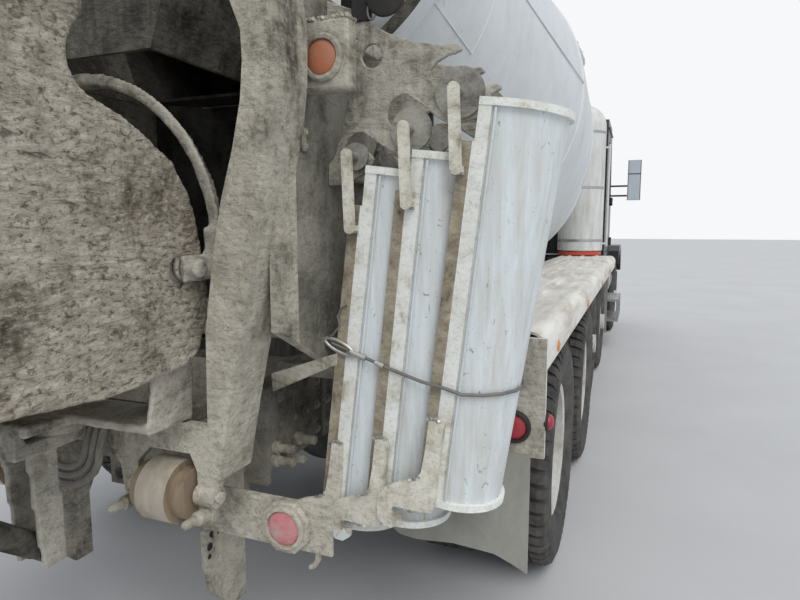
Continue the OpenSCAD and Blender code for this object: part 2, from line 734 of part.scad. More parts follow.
// Hook pins: side, height, radius of the disc on the pin
hook_pins = [[-751, 1719, 38], [-917, 1783, 58], [-1052, 1869, 66]];
slot_r = 30;
module both_ends() { children(); translate([2 * hang_x, 0, 0]) mirror([1, 0, 0]) children(); }
module rack_2d() {
    // From the top, three fingers and the cradles that their pins lie in
    difference() {
        polygon([[-rack_in, 2150], [-768, 2106], [-790, 2077], [-842, 2045], [-917, 2014], [-998, 1997],
            [-1046, 1993], [-1055, 1981], [-1046, 1973], [-1015, 1967], [-985, 1953], [-968, 1935],
                [-967, 1916],
            [-979, 1895], [-1000, 1878], [-1100, 1878], [-1139, 1889], [-1160, 1880], [-1158, 1871],
            [-1140, 1862], [-1110, 1835], [-1095, 1803], [-1064, 1795], [-1020, 1790], [-984, 1814],
            [-934, 1855], [-901, 1877], [-884, 1878], [-858, 1865], [-845, 1843], [-843, 1816],
                [-854, 1798],
            [-870, 1792], [-965, 1792], [-976, 1775], [-960, 1737], [-940, 1724], [-887, 1709],
                [-862, 1725],
            [-832, 1742], [-801, 1765], [-770, 1785], [-748, 1786], [-725, 1771], [-713, 1748],
                [-716, 1728],
            [-790, 1728], [-802, 1712], [-790, 1680], [-740, 1655], [-700, 1640], [-rack_in, 1640],
            [-rack_in, 1700], [-677, 1717], [-702, 1785], [-716, 1848], [-740, 1893], [-749, 1947],
            [-741, 1987], [-755, 2040], [-rack_in, 2050]]);
        for (p = hook_pins) translate([p[0], p[1]]) circle(slot_r);
        translate([-799, 1987]) circle(31);
    }
}
module chute_rack() {
    color(crust) from_rear() {
        both_ends() plate_yz(rack_x, rack_t) rack_2d();
        for (z = [1660, 2050]) box([rack_x, -700, z], [2 * hang_x - rack_x, -rack_in, z + 40]);
    }
}

// Extension chutes, hung open side inward: [side, height] of an edge's top and of its lower end
chute_rows = [[[-800, 1690], [-659, 620]], [[-935, 1726], [-811, 656]], [[-1115, 1848], [-976, 735]]];
chute_t = 6;
chute_side = 40;
rim_w = 12;
rim_h = 20;
strip_t = 10;
strip_in = 38;
strip_short = 110;
function lean(row) = atan2(row[1][0] - row[0][0], row[0][1] - row[1][1]);
function edge_y(row, z) = row[1][0] + (row[0][0] - row[1][0]) * (z - row[1][1]) / (row[0][1] - row[1][1]);
module trough_solid(r0, r1, len) {
    difference() {
        translate([0, -chute_side, 0]) cylinder(h = len, r1 = r0, r2 = r1);
        box([-300, -chute_side, -1], [300, 300, len + 1]);
    }
    plate_xz(-chute_side, chute_side) polygon([[-r0, 0], [r0, 0], [r1, len], [-r1, len]]);
}
module ext_chute(row) {
    len = norm(row[0] - row[1]);
    translate([hang_x, row[1][0], row[1][1]]) rotate([lean(row), 0, 0]) difference() {
        union() {
            trough_solid(ext_low_r, ext_r, len);
            trough_solid(ext_low_r + rim_w, ext_low_r + rim_w, rim_h);
            translate([0, 0, len - rim_h]) trough_solid(ext_r + rim_w, ext_r + rim_w, rim_h);
            plate_xz(-34, 34) polygon([[-ext_low_r - strip_t, 0], [ext_low_r + strip_t, 0],
                [ext_r + strip_t, len],
                [-ext_r - strip_t, len]]);
        }
        translate([0, 1, -1]) trough_solid(ext_low_r - chute_t, ext_r - chute_t, len + 2);
    }
    // The strips stand on past the open edge, a little into the wall
    strip_z = len - strip_short;
    strip_r = ext_r - (ext_r - ext_low_r) * strip_short / len;
    translate([hang_x, row[1][0], row[1][1]]) rotate([lean(row), 0, 0]) for (s = [-1, 1])
        plate_xz(-1, strip_in + 1) polygon([[s * (ext_low_r - 3), 2], [s * (ext_low_r + strip_t - 0.5), 2],
            [s * (strip_r + strip_t - 0.5), strip_z], [s * (strip_r - 3), strip_z]]);
}
handle_len = 200;
handle_x = -1262;
handle_t = 12;
handle_lean = 8;
module handle(k) {
    top = [hook_pins[k][0], hook_pins[k][1]];
    low = top - [handle_lean, handle_len];
    plate_yz(handle_x, handle_t) slot_2d(low, top, 15);
    box([handle_x + 1, low[0] - 14, low[1] - 8], [hang_x - ext_r - 1, low[0] + 14, low[1] + 8]);
}
// Flat hooks at the lower ends, each passing behind the next chute inward
hook_t = 13;
module hook_plate(k) {
    row = chute_rows[k];
    hook_x = hang_x - ext_low_r - 26 - k * (hook_t + 1);
    translate([0, row[1][0], row[1][1]]) rotate([lean(row), 0, 0]) {
        plate_yz(hook_x, hook_t) polygon([[20, 262], [-16, 268], [-24, 160], [-26, 40], [-22, 0],
            [30, -10], [75, -12],
            [92, -14], [98, -26], [90, -38], [66, -34], [68, -60], [90, -80], [115, -80], [135, -62],
                [143, -22],
            [140, 8], [124, 40], [86, 62], [40, 80], [24, 108], [20, 170]]);
        box([hook_x + hook_t - 1, -20, 5], [hang_x - ext_low_r - 8, -3, 255]);
    }
}
module extension_chutes() {
    color(white) from_rear() for (k = [0:2]) {
        ext_chute(chute_rows[k]);
        both_ends() handle(k);
        hook_plate(k);
    }
}
module chute_hooks() {
    color(crust) from_rear() both_ends() for (p = hook_pins) translate([0, p[0], p[1]])
        rotate([0, 90, 0]) {
        translate([0, 0, handle_x + handle_t]) cylinder(h = rack_x - handle_x - handle_t, r = 12);
        translate([0, 0, rack_x - 10]) cylinder(h = 10, r = p[2]);
        translate([0, 0, rack_x - 1]) cylinder(h = rack_t + 10, r = slot_r - gap);
    }
}
module lashing_cable() {
    color(dark) from_rear() sweep(cable_route, 5, 8);
}
cable_route = concat([[-1180, -665.3, 1200], [-1216, -670, 1195], [-1228, -686, 1187], [-1226, -720, 1176],
    [-1225, -760, 1162], [-1224, -860, 1127], [-1224, -960, 1098], [-1224, -1025, 1086]],
    [for (a = [186:21:354]) [hang_x + 155 * cos(a), -1056 + 155 * sin(a), 1070]],
    [[-889, -1025, 1080], [-889, -960, 1084], [-889, -860, 1090], [-888, -760, 1096], [-888, -700, 1100],
    [-889, -678, 1101], [-900, -668, 1102], [-926, -665.3, 1102]]);
hose_r = 11;
hose_pitch = 26;
function hose_loop(k) = concat([[-1523.3, 30 + 140 - hose_pitch * k, 960]],
    [for (a = [0:18:180]) [-1546, 30 + (140 - hose_pitch * k) * cos(a), 900 - (125 - hose_pitch * k)
        * sin(a)]],
    [[-1523.3, 30 - 140 + hose_pitch * k, 960]]);
module hydraulic_hoses() {
    color(black) from_rear() for (k = [0:2]) sweep(hose_loop(k), hose_r, 8);
}
function unit(v) = v / norm(v);
function tangent(p, i) = unit(p[min(i + 1, len(p) - 1)] - p[max(i - 1, 0)]);
function ring_at(p, i, r, n) = let (t = tangent(p, i), u = unit(cross(t, [0.1, 0.2, 1])), v = cross(t, u))
    [for (k = [0:n - 1]) p[i] + r * (cos(360 * k / n) * u + sin(360 * k / n) * v)];
module sweep(p, r, n) {
    m = len(p);
    points = [for (i = [0:m - 1]) each ring_at(p, i, r, n)];
    faces = concat([[for (k = [0:n - 1]) k]], [[for (k = [n - 1:-1:0]) (m - 1) * n + k]],
        [for (i = [0:m - 2], k = [0:n - 1]) [i * n + k, (i + 1) * n + k, (i + 1) * n + (k + 1)
            % n, i * n + (k + 1) % n]]);
    polyhedron(points, faces);
}

// Lamps
module tail_lamps() {
    color("firebrick") from_rear() both_sides() {
        translate([lamp_plate_x - 25, 650, 709]) rotate([0, 90, 0]) cylinder(h = 25, r = 62);
        translate([-890, 1154, 887]) rotate([0, 90, 0]) cylinder(h = 10, r = 50);
    }
}
module marker_lamps() {
    color("orange") from_rear() both_sides() {
        box([-1340, leg_y + leg_t, 1870], [-1280, 800, 2050]);
        translate([-1345, 720, 1950]) rotate([0, 90, 0]) cylinder(h = 66, r = 45);
        translate([-820, lip_y, 1105]) rotate([-90, 0, 0]) cylinder(h = 20, r = 26);
    }
}

// Chute swivel, main chute, the chute folded on top of it, and the lift cylinder
pin_x = -1515;
pin_z = 1418;
pin_r = 25;
arm_t = 15;
cheek_t = 20;
cheek_y = chute_w / 2 - cheek_t;
arm_y = cheek_y - 5 - arm_t;
knob_y = chute_w / 2 + 5;
foot = [-1660, 640];
eye = [-2350, 1200];
rod_len = norm(eye - foot);
rod_rise = atan2(eye[1] - foot[1], foot[0] - eye[0]);
cyl_pin_r = 18;
// Half ring over the pivot, carried by the swivel's arms
hoop_r = 440;
hoop_x = -1450;
hoop_z = 1480;
module hoop() {
    translate([hoop_x, 0, hoop_z]) rotate([90, 0, 90]) difference() {
        union() {
            cylinder(h = 55, r = hoop_r + 10, $fn = 96);
            cylinder(h = 12, r = hoop_r + 34, $fn = 96);
        }
        translate([0, 0, -1]) cylinder(h = 57, r = hoop_r, $fn = 96);
        translate([-600, -600, -1]) cube([1200, 600, 57]);
    }
    both_sides() {
        box([hoop_x - 10, knob_y, pin_z - 30], [hoop_x + 20, hoop_r + 30, hoop_z + 40]);
        box([pin_x - 34, knob_y, pin_z - 34], [hoop_x + 20, knob_y + arm_t, pin_z + 34]);
    }
}
swivel_rear = swivel_x - 170;
module chute_swivel() {
    color(crust) from_rear() {
        difference() {
            union() {
                box([swivel_rear, -120, seat_z + gap], [swivel_x + 60, 120, seat_z + 30]);
                box([swivel_rear, -75, seat_z - 65], [swivel_x, 75, seat_z - 30 - gap]);
                translate([swivel_x, 0, seat_z - 65]) cylinder(h = 35 - gap, r = 75);
                box([swivel_rear, -75, seat_z - 65], [swivel_rear + 35, 75, seat_z + 30]);
                box([swivel_x - 50, -arm_y - arm_t, seat_z + 8], [pin_x + 30, arm_y + arm_t, seat_z + 30]);
            }
            translate([swivel_x, 0, seat_z - 66]) cylinder(h = 110, r = king_post_r + run);
        }
        both_sides() {
            plate_xz(arm_y, arm_t) polygon(concat([[pin_x + 30, seat_z + 8], [pin_x + 45, pin_z]],
                arc([pin_x, pin_z], 45, 0, 180, 12), [[swivel_x - 50, seat_z + 8]]));
            rod_y(pin_x, pin_z, arm_y, 470, pin_r);
            plate_xz(40, 16) polygon([[swivel_x - 30, seat_z - 60], [swivel_x - 120, seat_z - 60],
                [foot[0] - 35, foot[1] - 35], [foot[0] + 35, foot[1] - 35]]);
        }
        hoop();
        rod_y(foot[0], foot[1], -60, 60, cyl_pin_r);
    }
}
chute_end = -2700;
fold_axis = [-2640, 1860];
fold_pin_r = 14;
module main_chute() {
    color(crust) from_rear() {
        both_sides() difference() {
            plate_xz(cheek_y, cheek_t) difference() {
                polygon([[-1434, 1354], [-1455, 1464], [-1471, 1530], [-1500, 1613], [-1548, 1681],
                    [-1617, 1724],
                    [-1709, 1771], [-1792, 1801], [-1824, 1833], [-1834, 1866], [-1832, 1894],
                        [-1817, 1923],
                    [-1794, 1954], [-1785, 1985], [-1805, 2010], [-2100, 2000], [-2560, 1900],
                        [-2600, 1890],
                    [-2680, 1890], [chute_end, 1800], [chute_end, 1450], [-2070, 1168], [-1780, 1142],
                    [-1611, 1152], [-1521, 1165], [-1480, 1195], [-1443, 1271]]);
                difference() {
                    translate([pin_x - 15, pin_z - 8]) circle(46);
                    translate([pin_x, pin_z]) circle(36);
                }
            }
            rod_y(pin_x, pin_z, cheek_y - 1, cheek_y + cheek_t + 1, pin_r + run);
            rod_y(fold_axis[0], fold_axis[1], cheek_y - 1, cheek_y + cheek_t + 1, fold_pin_r + run);
        }
        difference() {
            plate_xz(-cheek_y, 2 * cheek_y) polygon([[-1521, 1165], [-1611, 1152], [-1780, 1142],
                [-2070, 1168],
                [chute_end, 1450], [chute_end, 1464], [-2074, 1182], [-1780, 1156], [-1611, 1166],
                    [-1530, 1180]]);
            // Slots that the swivel's arms stand in
            both_sides() box([-1790, arm_y - 6, 1100], [-1500, cheek_y - 0.01, 1200]);
        }
        both_sides() difference() {
            plate_xz(40, 16) polygon([[eye[0] - 100, eye[1] + 130], [eye[0] + 100, eye[1] + 30],
                [eye[0] + 40, eye[1] - 35],
                [eye[0] - 40, eye[1] - 35]]);
            rod_y(eye[0], eye[1], 20, 60, cyl_pin_r + 6);
        }
    }
}
module fold_chute() {
    color(crust) from_rear() {
        both_sides() {
            plate_xz(cheek_y - 25, cheek_t) polygon([[-2660, 1830], [-2660, 1900], [-2560, 2120],
                [-1850, 2180],
                [-1815, 2140], [-1815, 1860], [-2560, 1830]]);
            rod_y(fold_axis[0], fold_axis[1], cheek_y - 25, cheek_y + cheek_t + 8, fold_pin_r);
        }
        plate_xz(-cheek_y + 25, 2 * cheek_y - 50) polygon([[-2560, 2120], [-1850, 2180],
            [-1849, 2166], [-2559, 2106]]);
    }
}
module along_cylinder() {
    translate([foot[0], 0, foot[1]]) rotate([0, -90 + rod_rise, 0]) children();
}
barrel_len = 600;
barrel_r = 34;
rod_from = 315;
rod_r = 22;
module lift_barrel() {
    color(dark) from_rear() difference() {
        union() {
            along_cylinder() translate([0, 0, 25]) cylinder(h = barrel_len - 25, r = barrel_r);
            rod_y(foot[0], foot[1], -34, 34, 32);
        }
        along_cylinder() translate([0, 0, 60]) cylinder(h = barrel_len, r = rod_r + run);
        rod_y(foot[0], foot[1], -40, 40, cyl_pin_r + run);
    }
}
module lift_rod() {
    color("silver") from_rear() {
        along_cylinder() translate([0, 0, rod_from]) cylinder(h = rod_len - rod_from - 20, r = rod_r);
        rod_y(eye[0], eye[1], -24, 24, 26);
        rod_y(eye[0], eye[1], -62, 62, cyl_pin_r - 4);
    }
}

chassis_frame();
front_bumper();
front_axle();
rear_axles();
powertrain();
cab_shell();
cab_glass();
seats();
dashboard();
fuel_tanks();
cab_steps();
exhaust_stack();
mirrors();
fenders();
mudflaps();
water_tank();
front_pedestal();
drum_gearbox();
rear_pedestal();
charge_hopper();
discharge_hopper();
chute_rack();
extension_chutes();
chute_hooks();
lashing_cable();
hydraulic_hoses();
tail_lamps();
marker_lamps();
hood();
grille();
headlamps();
door(1);  // door_left
door(-1);  // door_right
door_glass(1);  // door_glass_left
door_glass(-1);  // door_glass_right
drum();
roller(1);  // roller_left
roller(-1);  // roller_right
bumper_roller(1);  // bumper_roller_left
bumper_roller(-1);  // bumper_roller_right
chute_swivel();
main_chute();
fold_chute();
lift_barrel();
lift_rod();
knuckle(1);  // knuckle_left
knuckle(-1);  // knuckle_right
front_wheel(1);  // front_wheel_left
front_wheel(-1);  // front_wheel_right
pusher_wheel(pusher_x[1], 1);  // pusher_wheel_front_left
pusher_wheel(pusher_x[1], -1);  // pusher_wheel_front_right
pusher_wheel(pusher_x[0], 1);  // pusher_wheel_rear_left
pusher_wheel(pusher_x[0], -1);  // pusher_wheel_rear_right
drive_wheel(drive_x[1], 1);  // drive_wheel_front_left
drive_wheel(drive_x[1], -1);  // drive_wheel_front_right
drive_wheel(drive_x[0], 1);  // drive_wheel_rear_left
drive_wheel(drive_x[0], -1);  // drive_wheel_rear_right
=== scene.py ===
"""Concrete mixer truck: looks, treaded tyres, dried concrete and small fittings on the frame.

Places and sizes of pieces are in millimetres: x forward of the rear drive axle, y to the left, z up
from the ground. Voxels and the depth of relief are in metres, as Blender takes them.
"""

import math

import bmesh
import bpy
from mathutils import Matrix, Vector, noise


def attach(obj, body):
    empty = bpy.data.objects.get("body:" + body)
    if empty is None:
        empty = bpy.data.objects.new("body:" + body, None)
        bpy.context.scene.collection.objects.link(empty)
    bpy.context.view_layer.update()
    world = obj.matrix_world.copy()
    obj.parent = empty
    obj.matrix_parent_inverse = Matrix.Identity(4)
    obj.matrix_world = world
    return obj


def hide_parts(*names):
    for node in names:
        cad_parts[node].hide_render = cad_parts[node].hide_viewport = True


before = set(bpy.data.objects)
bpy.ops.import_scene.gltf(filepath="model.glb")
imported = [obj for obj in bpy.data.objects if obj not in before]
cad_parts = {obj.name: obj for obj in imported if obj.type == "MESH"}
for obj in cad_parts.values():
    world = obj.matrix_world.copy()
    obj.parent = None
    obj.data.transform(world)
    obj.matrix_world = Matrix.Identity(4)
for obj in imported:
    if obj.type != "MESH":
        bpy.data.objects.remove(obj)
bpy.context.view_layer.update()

REAR_AXLE = -2.5
AXLE_Z = 510


def place(p):
    """A point in millimetres forward of the rear axle, as a place in the frame in metres."""
    return Vector((p[0] / 1000 + REAR_AXLE, p[1] / 1000, p[2] / 1000))


def srgb(r, g, b):
    """A colour written in 0-255 as seen on a screen, as linear RGBA."""
    def linear(v):
        v /= 255
        return v / 12.92 if v <= 0.04045 else ((v + 0.055) / 1.055) ** 2.4
    return (linear(r), linear(g), linear(b), 1.0)


# Materials


class Shader:
    """A node tree around one Principled shader, whose textures follow the object."""

    def __init__(self, name, **sockets):
        self.material = bpy.data.materials.new(name)
        self.material.use_nodes = True
        self.tree = self.material.node_tree
        self.surface = self.tree.nodes["Principled BSDF"]
        for socket, value in sockets.items():
            self.surface.inputs[socket.replace("_", " ")].default_value = value
        self.coordinates = self.node("ShaderNodeTexCoord").outputs["Object"]

    def node(self, kind, inputs=None, **settings):
        made = self.tree.nodes.new(kind)
        for key, value in settings.items():
            setattr(made, key, value)
        for key, value in (inputs or {}).items():
            self.feed(made.inputs[key], value)
        return made

    def feed(self, socket, value):
        if isinstance(value, bpy.types.NodeSocket):
            self.tree.links.new(value, socket)
        else:
            socket.default_value = value

    def stretched(self, scale):
        inputs = {"Vector": self.coordinates, "Scale": scale}
        return self.node("ShaderNodeMapping", inputs).outputs[0]

    def noise(self, scale, detail=6.0, roughness=0.6, stretch=(1, 1, 1), distortion=0.0):
        return self.node("ShaderNodeTexNoise", {
            "Vector": self.stretched(stretch), "Scale": scale, "Detail": detail,
            "Roughness": roughness, "Distortion": distortion}).outputs["Fac"]

    def pits(self, scale):
        return self.node("ShaderNodeTexVoronoi", {
            "Vector": self.stretched((1, 1, 1)), "Scale": scale,
            "Randomness": 1.0}).outputs["Distance"]

    def ramp(self, value, *stops):
        """Maps value to colours by (place, colour) stops, where a number is a grey."""
        made = self.node("ShaderNodeValToRGB", {"Fac": value})
        elements = made.color_ramp.elements
        while len(elements) < len(stops):
            elements.new(0.5)
        for element, (position, colour) in zip(elements, stops):
            element.position = position
            element.color = (colour, colour, colour, 1) if isinstance(colour, float) else colour
        return made.outputs["Color"]

    def mix(self, share, a, b):
        made = self.node("ShaderNodeMix", data_type="RGBA", blend_type="MIX")
        self.feed(made.inputs["Factor"], share)
        self.feed(made.inputs["A"], a)
        self.feed(made.inputs["B"], b)
        return made.outputs["Result"]

    def laid_over(self, under, over, mask, *stops):
        """One colour over another, with the share that the (place, share) stops give for mask."""
        return self.mix(self.ramp(mask, *stops), under, over)

    def math(self, operation, a, b=0.0):
        made = self.node("ShaderNodeMath", operation=operation)
        self.feed(made.inputs[0], a)
        self.feed(made.inputs[1], b)
        return made.outputs[0]

    def finish(self, colour, roughness=None, height=None, depth=0.002, strength=1.0):
        self.feed(self.surface.inputs["Base Color"], colour)
        if roughness is not None:
            self.feed(self.surface.inputs["Roughness"], roughness)
        if height is not None:
            bump = self.node("ShaderNodeBump",
                             {"Height": height, "Strength": strength, "Distance": depth})
            self.feed(self.surface.inputs["Normal"], bump.outputs["Normal"])
        return self.material


RUST = srgb(140, 116, 98)
FLECK = srgb(104, 98, 86)


def crusted(name, light, middle, dark, scale=5.0, depth=0.006, wrinkles=0.3, stain=0.0, worn=0.0,
            sandy=0.35):
    """Steel under dried concrete: blotches, wrinkles, pale runs down, pits, grit and painted
    highlights on edges.
    """
    s = Shader(name, Roughness=0.93, Specular_IOR_Level=0.2)
    blotches = s.noise(scale, detail=10, roughness=0.68, distortion=0.4)
    grit = s.noise(120, detail=4, roughness=0.7)
    pits = s.pits(48)
    drips = s.noise(9, roughness=0.65, stretch=(2.4, 2.4, 0.22))
    folds = s.noise(22, roughness=0.62, stretch=(1, 1, 2.4), distortion=0.6)
    sand = s.noise(60, detail=5, roughness=0.7, stretch=(1, 1, 1.5), distortion=0.3)
    colour = s.ramp(blotches, (0.34, dark), (0.46, middle), (0.60, light))
    if stain:
        rust = s.noise(2.6, detail=5, distortion=0.5)
        colour = s.laid_over(colour, RUST, rust, (0.50, 0.0), (0.66, stain))
    colour = s.laid_over(colour, light, drips, (0.46, 0.0), (0.68, 0.6))
    # Painted shade: darker in the folds between the wrinkles.
    colour = s.laid_over(colour, dark, folds, (0.34, wrinkles), (0.46, 0.0))
    colour = s.laid_over(colour, light, sand, (0.53, 0.0), (0.66, sandy))
    colour = s.laid_over(colour, dark, sand, (0.36, sandy), (0.46, 0.0))
    colour = s.laid_over(colour, dark, grit, (0.30, 0.5), (0.44, 0.0))
    # Painted highlight: edges made lighter, as where they catch the light.
    if worn:
        edges = s.node("ShaderNodeNewGeometry").outputs["Pointiness"]
        colour = s.laid_over(colour, light, edges, (0.53, 0.0), (0.60, worn))
    rough = s.math("ADD", s.math("MULTIPLY", pits, 0.4), s.math("MULTIPLY", blotches, 1.2))
    height = s.math("ADD", s.math("MULTIPLY", grit, 0.3), rough)
    height = s.math("ADD", height, s.math("MULTIPLY", folds, 5 * wrinkles))
    return s.finish(colour, height=height, depth=depth, strength=0.9)


def painted(name, paint, dust, share=0.35, gloss=0.35, streaks=(3.0, 3.0, 0.5), grain=70.0,
            depth=0.0012, metallic=0.0, specks=0.35, flecks=0.0):
    """Paint or metal under dust that ran down in streaks, with splashes and dark flecks."""
    s = Shader(name, Metallic=metallic)
    runs = s.noise(5.0, detail=8, roughness=0.65, stretch=streaks, distortion=0.3)
    cloud = s.noise(1.7)
    splash = s.noise(grain, detail=5, roughness=0.75)
    clouded = s.math("MULTIPLY", runs, s.math("ADD", cloud, 0.5))
    dusty = s.math("MULTIPLY", s.ramp(clouded, (0.34, 0.0), (0.72, 1.0)), share * 2)
    dusty = s.node("ShaderNodeClamp", {"Value": dusty}).outputs[0]
    colour = s.mix(dusty, paint, dust)
    colour = s.laid_over(colour, dust, splash, (0.60, 0.0), (0.72, specks))
    if flecks:
        marks = s.noise(46, detail=5, roughness=0.7, stretch=(1, 1, 0.6), distortion=0.8)
        colour = s.laid_over(colour, FLECK, marks, (0.31, flecks), (0.37, 0.0))
    rough = s.math("ADD", s.math("MULTIPLY", dusty, 0.85 - gloss), gloss)
    return s.finish(colour, roughness=rough, height=splash, depth=depth, strength=0.5)


def lens(name, colour, dust, share):
    """Moulded plastic lens with fine ribs under dust."""
    s = Shader(name, Coat_Weight=0.3, Coat_Roughness=0.2)
    film = s.noise(24, roughness=0.7)
    ribs = s.node("ShaderNodeTexWave", {"Vector": s.coordinates, "Scale": 70.0},
                  bands_direction="Z").outputs["Fac"]
    shade = s.laid_over(colour, dust, film, (0.38, 0.0), (0.68, share * 2))
    return s.finish(shade, roughness=s.ramp(film, (0.3, 0.25), (0.7, 0.6)), height=ribs,
                    depth=0.001, strength=0.4)


def glass(name, tint, alpha):
    s = Shader(name, Roughness=0.06, Alpha=alpha, IOR=1.45, Coat_Weight=0.4)
    film = s.noise(9, detail=5)
    return s.finish(s.laid_over(tint, DUST, film, (0.45, 0.0), (0.75, 0.25)))


DUST = srgb(170, 165, 152)
LONG_STREAKS, BRUSH_LINES = (0.6, 3, 3), (0.3, 9, 9)

CRUST = crusted("crusted_steel", srgb(200, 195, 181), srgb(164, 159, 146), srgb(84, 80, 71))
CRUST_RACK = crusted("crusted_rack", srgb(196, 192, 180), srgb(162, 158, 146), srgb(88, 84, 76),
                     worn=0.8)
CRUST_CHUTE = crusted("crusted_chute", srgb(206, 199, 183), srgb(174, 167, 151), srgb(92, 84, 71),
                      5.5, 0.010, wrinkles=0.75, stain=0.5, worn=0.5, sandy=0.8)
CRUST_PALE = crusted("crusted_pale", srgb(192, 188, 175), srgb(160, 155, 142), srgb(98, 93, 83),
                     7.0, 0.004)
# Darker copies of the crust, deeper from one to the next, are painted shade.
CRUST_SHADE = crusted("crusted_shaded", srgb(150, 147, 137), srgb(112, 109, 100), srgb(66, 64, 58),
                      4.0, 0.004, wrinkles=0.2)
CRUST_DARK_SHADE = crusted("crusted_dark_shade", srgb(116, 113, 104), srgb(78, 76, 70), srgb(44, 43, 40), 6.0)
CRUST_DEEP_SHADE = crusted("crusted_deep_shade", srgb(70, 68, 63), srgb(44, 43, 40), srgb(24, 23, 22), 6.0)
# Tan for the strips' edges: dirt, and painted shade of the gaps between the chutes.
DUST_AND_SHADE_TAN = crusted("dust_and_shade_tan", srgb(176, 168, 150), srgb(146, 137, 118), srgb(98, 88, 72),
                    13.0, 0.0016)
DUSTY_WHITE = crusted("dusty_white", srgb(240, 243, 240), srgb(228, 230, 223), srgb(186, 179, 162),
                      11.0, 0.0012)
DISC_STEEL = crusted("disc_steel", srgb(172, 170, 162), srgb(144, 142, 134), srgb(98, 95, 88),
                     9.0, 0.0015)
HOOK_PALE = crusted("hook_pale", srgb(228, 226, 215), srgb(208, 204, 190), srgb(146, 138, 121),
                    12.0, 0.0022)

WHITE_PAINT = painted("body_white", srgb(224, 227, 226), DUST, 0.30, 0.38, flecks=0.3)
DRUM_PAINT = painted("drum_white", srgb(218, 224, 228), srgb(180, 178, 168), 0.16, 0.4,
                     streaks=(1.4, 1.4, 0.8), specks=0.3, flecks=0.35)
FENDER_PAINT = painted("fender_white", srgb(236, 235, 229), srgb(176, 169, 154), 0.42, 0.5,
                       streaks=LONG_STREAKS, flecks=0.5)
CHUTE_PAINT = painted("chute_white", srgb(224, 233, 238), srgb(188, 184, 171), 0.34, 0.42,
                      streaks=(7, 7, 0.45), specks=0.7, flecks=0.8)
FRAME_PAINT = painted("frame_paint", srgb(78, 77, 75), srgb(134, 130, 120), 0.55, 0.6)
CAB_PAINT = painted("cab_paint", srgb(34, 35, 38), srgb(96, 93, 88), 0.11, 0.22, specks=0.2)
DARK_IRON = painted("dark_iron", srgb(48, 47, 46), srgb(112, 107, 98), 0.5, 0.6)
ENGINE = painted("engine_grey", srgb(84, 85, 88), srgb(60, 55, 50), 0.4, 0.5)
CHROME = painted("chrome", srgb(214, 216, 218), srgb(150, 146, 140), 0.10, 0.12, metallic=1.0,
                 depth=0.0003)
BRUSHED = painted("bright_aluminium", srgb(200, 202, 204), srgb(150, 145, 138), 0.28, 0.3,
                  streaks=BRUSH_LINES, metallic=1.0, depth=0.0004)
PLASTIC = painted("dark_plastic", srgb(38, 38, 40), srgb(96, 92, 86), 0.2, 0.5)
FABRIC = painted("seat_fabric", srgb(58, 58, 62), srgb(84, 82, 80), 0.3, 0.85, grain=400,
                 depth=0.001)
GEARBOX = painted("gearbox_paint", srgb(92, 104, 122), srgb(120, 116, 108), 0.4, 0.45)
RUBBER = painted("tyre_rubber", srgb(46, 47, 48), srgb(118, 113, 105), 0.34, 0.75,
                 streaks=(2, 2, 2), depth=0.002)
FLAP = painted("flap_rubber", srgb(164, 163, 156), srgb(132, 130, 123), 0.4, 0.8,
               streaks=(1.5, 1.5, 0.7), depth=0.002, flecks=0.3)
RIM = painted("rim_white", srgb(216, 217, 214), srgb(146, 136, 120), 0.35, 0.45, streaks=(3, 3, 3))
ROLLER = painted("roller_steel", srgb(140, 136, 130), srgb(110, 100, 90), 0.4, 0.4, metallic=0.6)
ROLLER_TAN = painted("roller_rubber", srgb(168, 152, 130), srgb(112, 94, 74), 0.5, 0.7)
ROLLER_BAND = painted("roller_white", srgb(196, 190, 178), srgb(140, 122, 98), 0.4, 0.6, grain=40)
ROD = painted("rod_chrome", srgb(205, 206, 208), srgb(160, 156, 150), 0.1, 0.15, metallic=1.0,
              depth=0.0002)
CABLE = painted("cable_steel", srgb(112, 113, 112), srgb(150, 145, 134), 0.4, 0.5, metallic=0.5,
                grain=300)
HOSE = painted("hose_rubber", srgb(116, 114, 107), srgb(164, 159, 147), 0.5, 0.7)
BOLT = painted("bolt_steel", srgb(150, 146, 136), srgb(104, 94, 80), 0.5, 0.55, metallic=0.3)
WELD = painted("weld_metal", srgb(206, 206, 202), srgb(108, 104, 98), 0.35, 0.35, metallic=0.7,
               depth=0.0006)
# Painted shade inside holes.
HOLE_SHADE = painted("painted_hole_shade", srgb(20, 19, 18), srgb(54, 50, 46), 0.3, 0.8)
BLACK_RUBBER = painted("grommet_rubber", srgb(26, 26, 27), srgb(84, 78, 72), 0.2, 0.6)
LAMP_RED = painted("lamp_bracket_red", srgb(206, 66, 40), srgb(150, 120, 100), 0.2, 0.4)
MIRROR_GLASS = painted("mirror_glass", srgb(196, 204, 210), DUST, 0.08, 0.05, metallic=1.0,
                       depth=0.0001)

RED_LENS = lens("red_lens", srgb(178, 22, 46), srgb(140, 96, 92), 0.15)
PINK_LENS = lens("faded_red_lens", srgb(206, 108, 116), srgb(190, 172, 166), 0.4)
ORANGE_LENS = lens("orange_lens", srgb(190, 108, 70), srgb(150, 128, 110), 0.3)
AMBER_LENS = lens("amber_lens", srgb(226, 132, 40), srgb(170, 150, 132), 0.1)
GLASS = glass("cab_glass", srgb(46, 54, 58), 0.55)
LAMP_GLASS = glass("lamp_glass", srgb(205, 212, 216), 1.0)

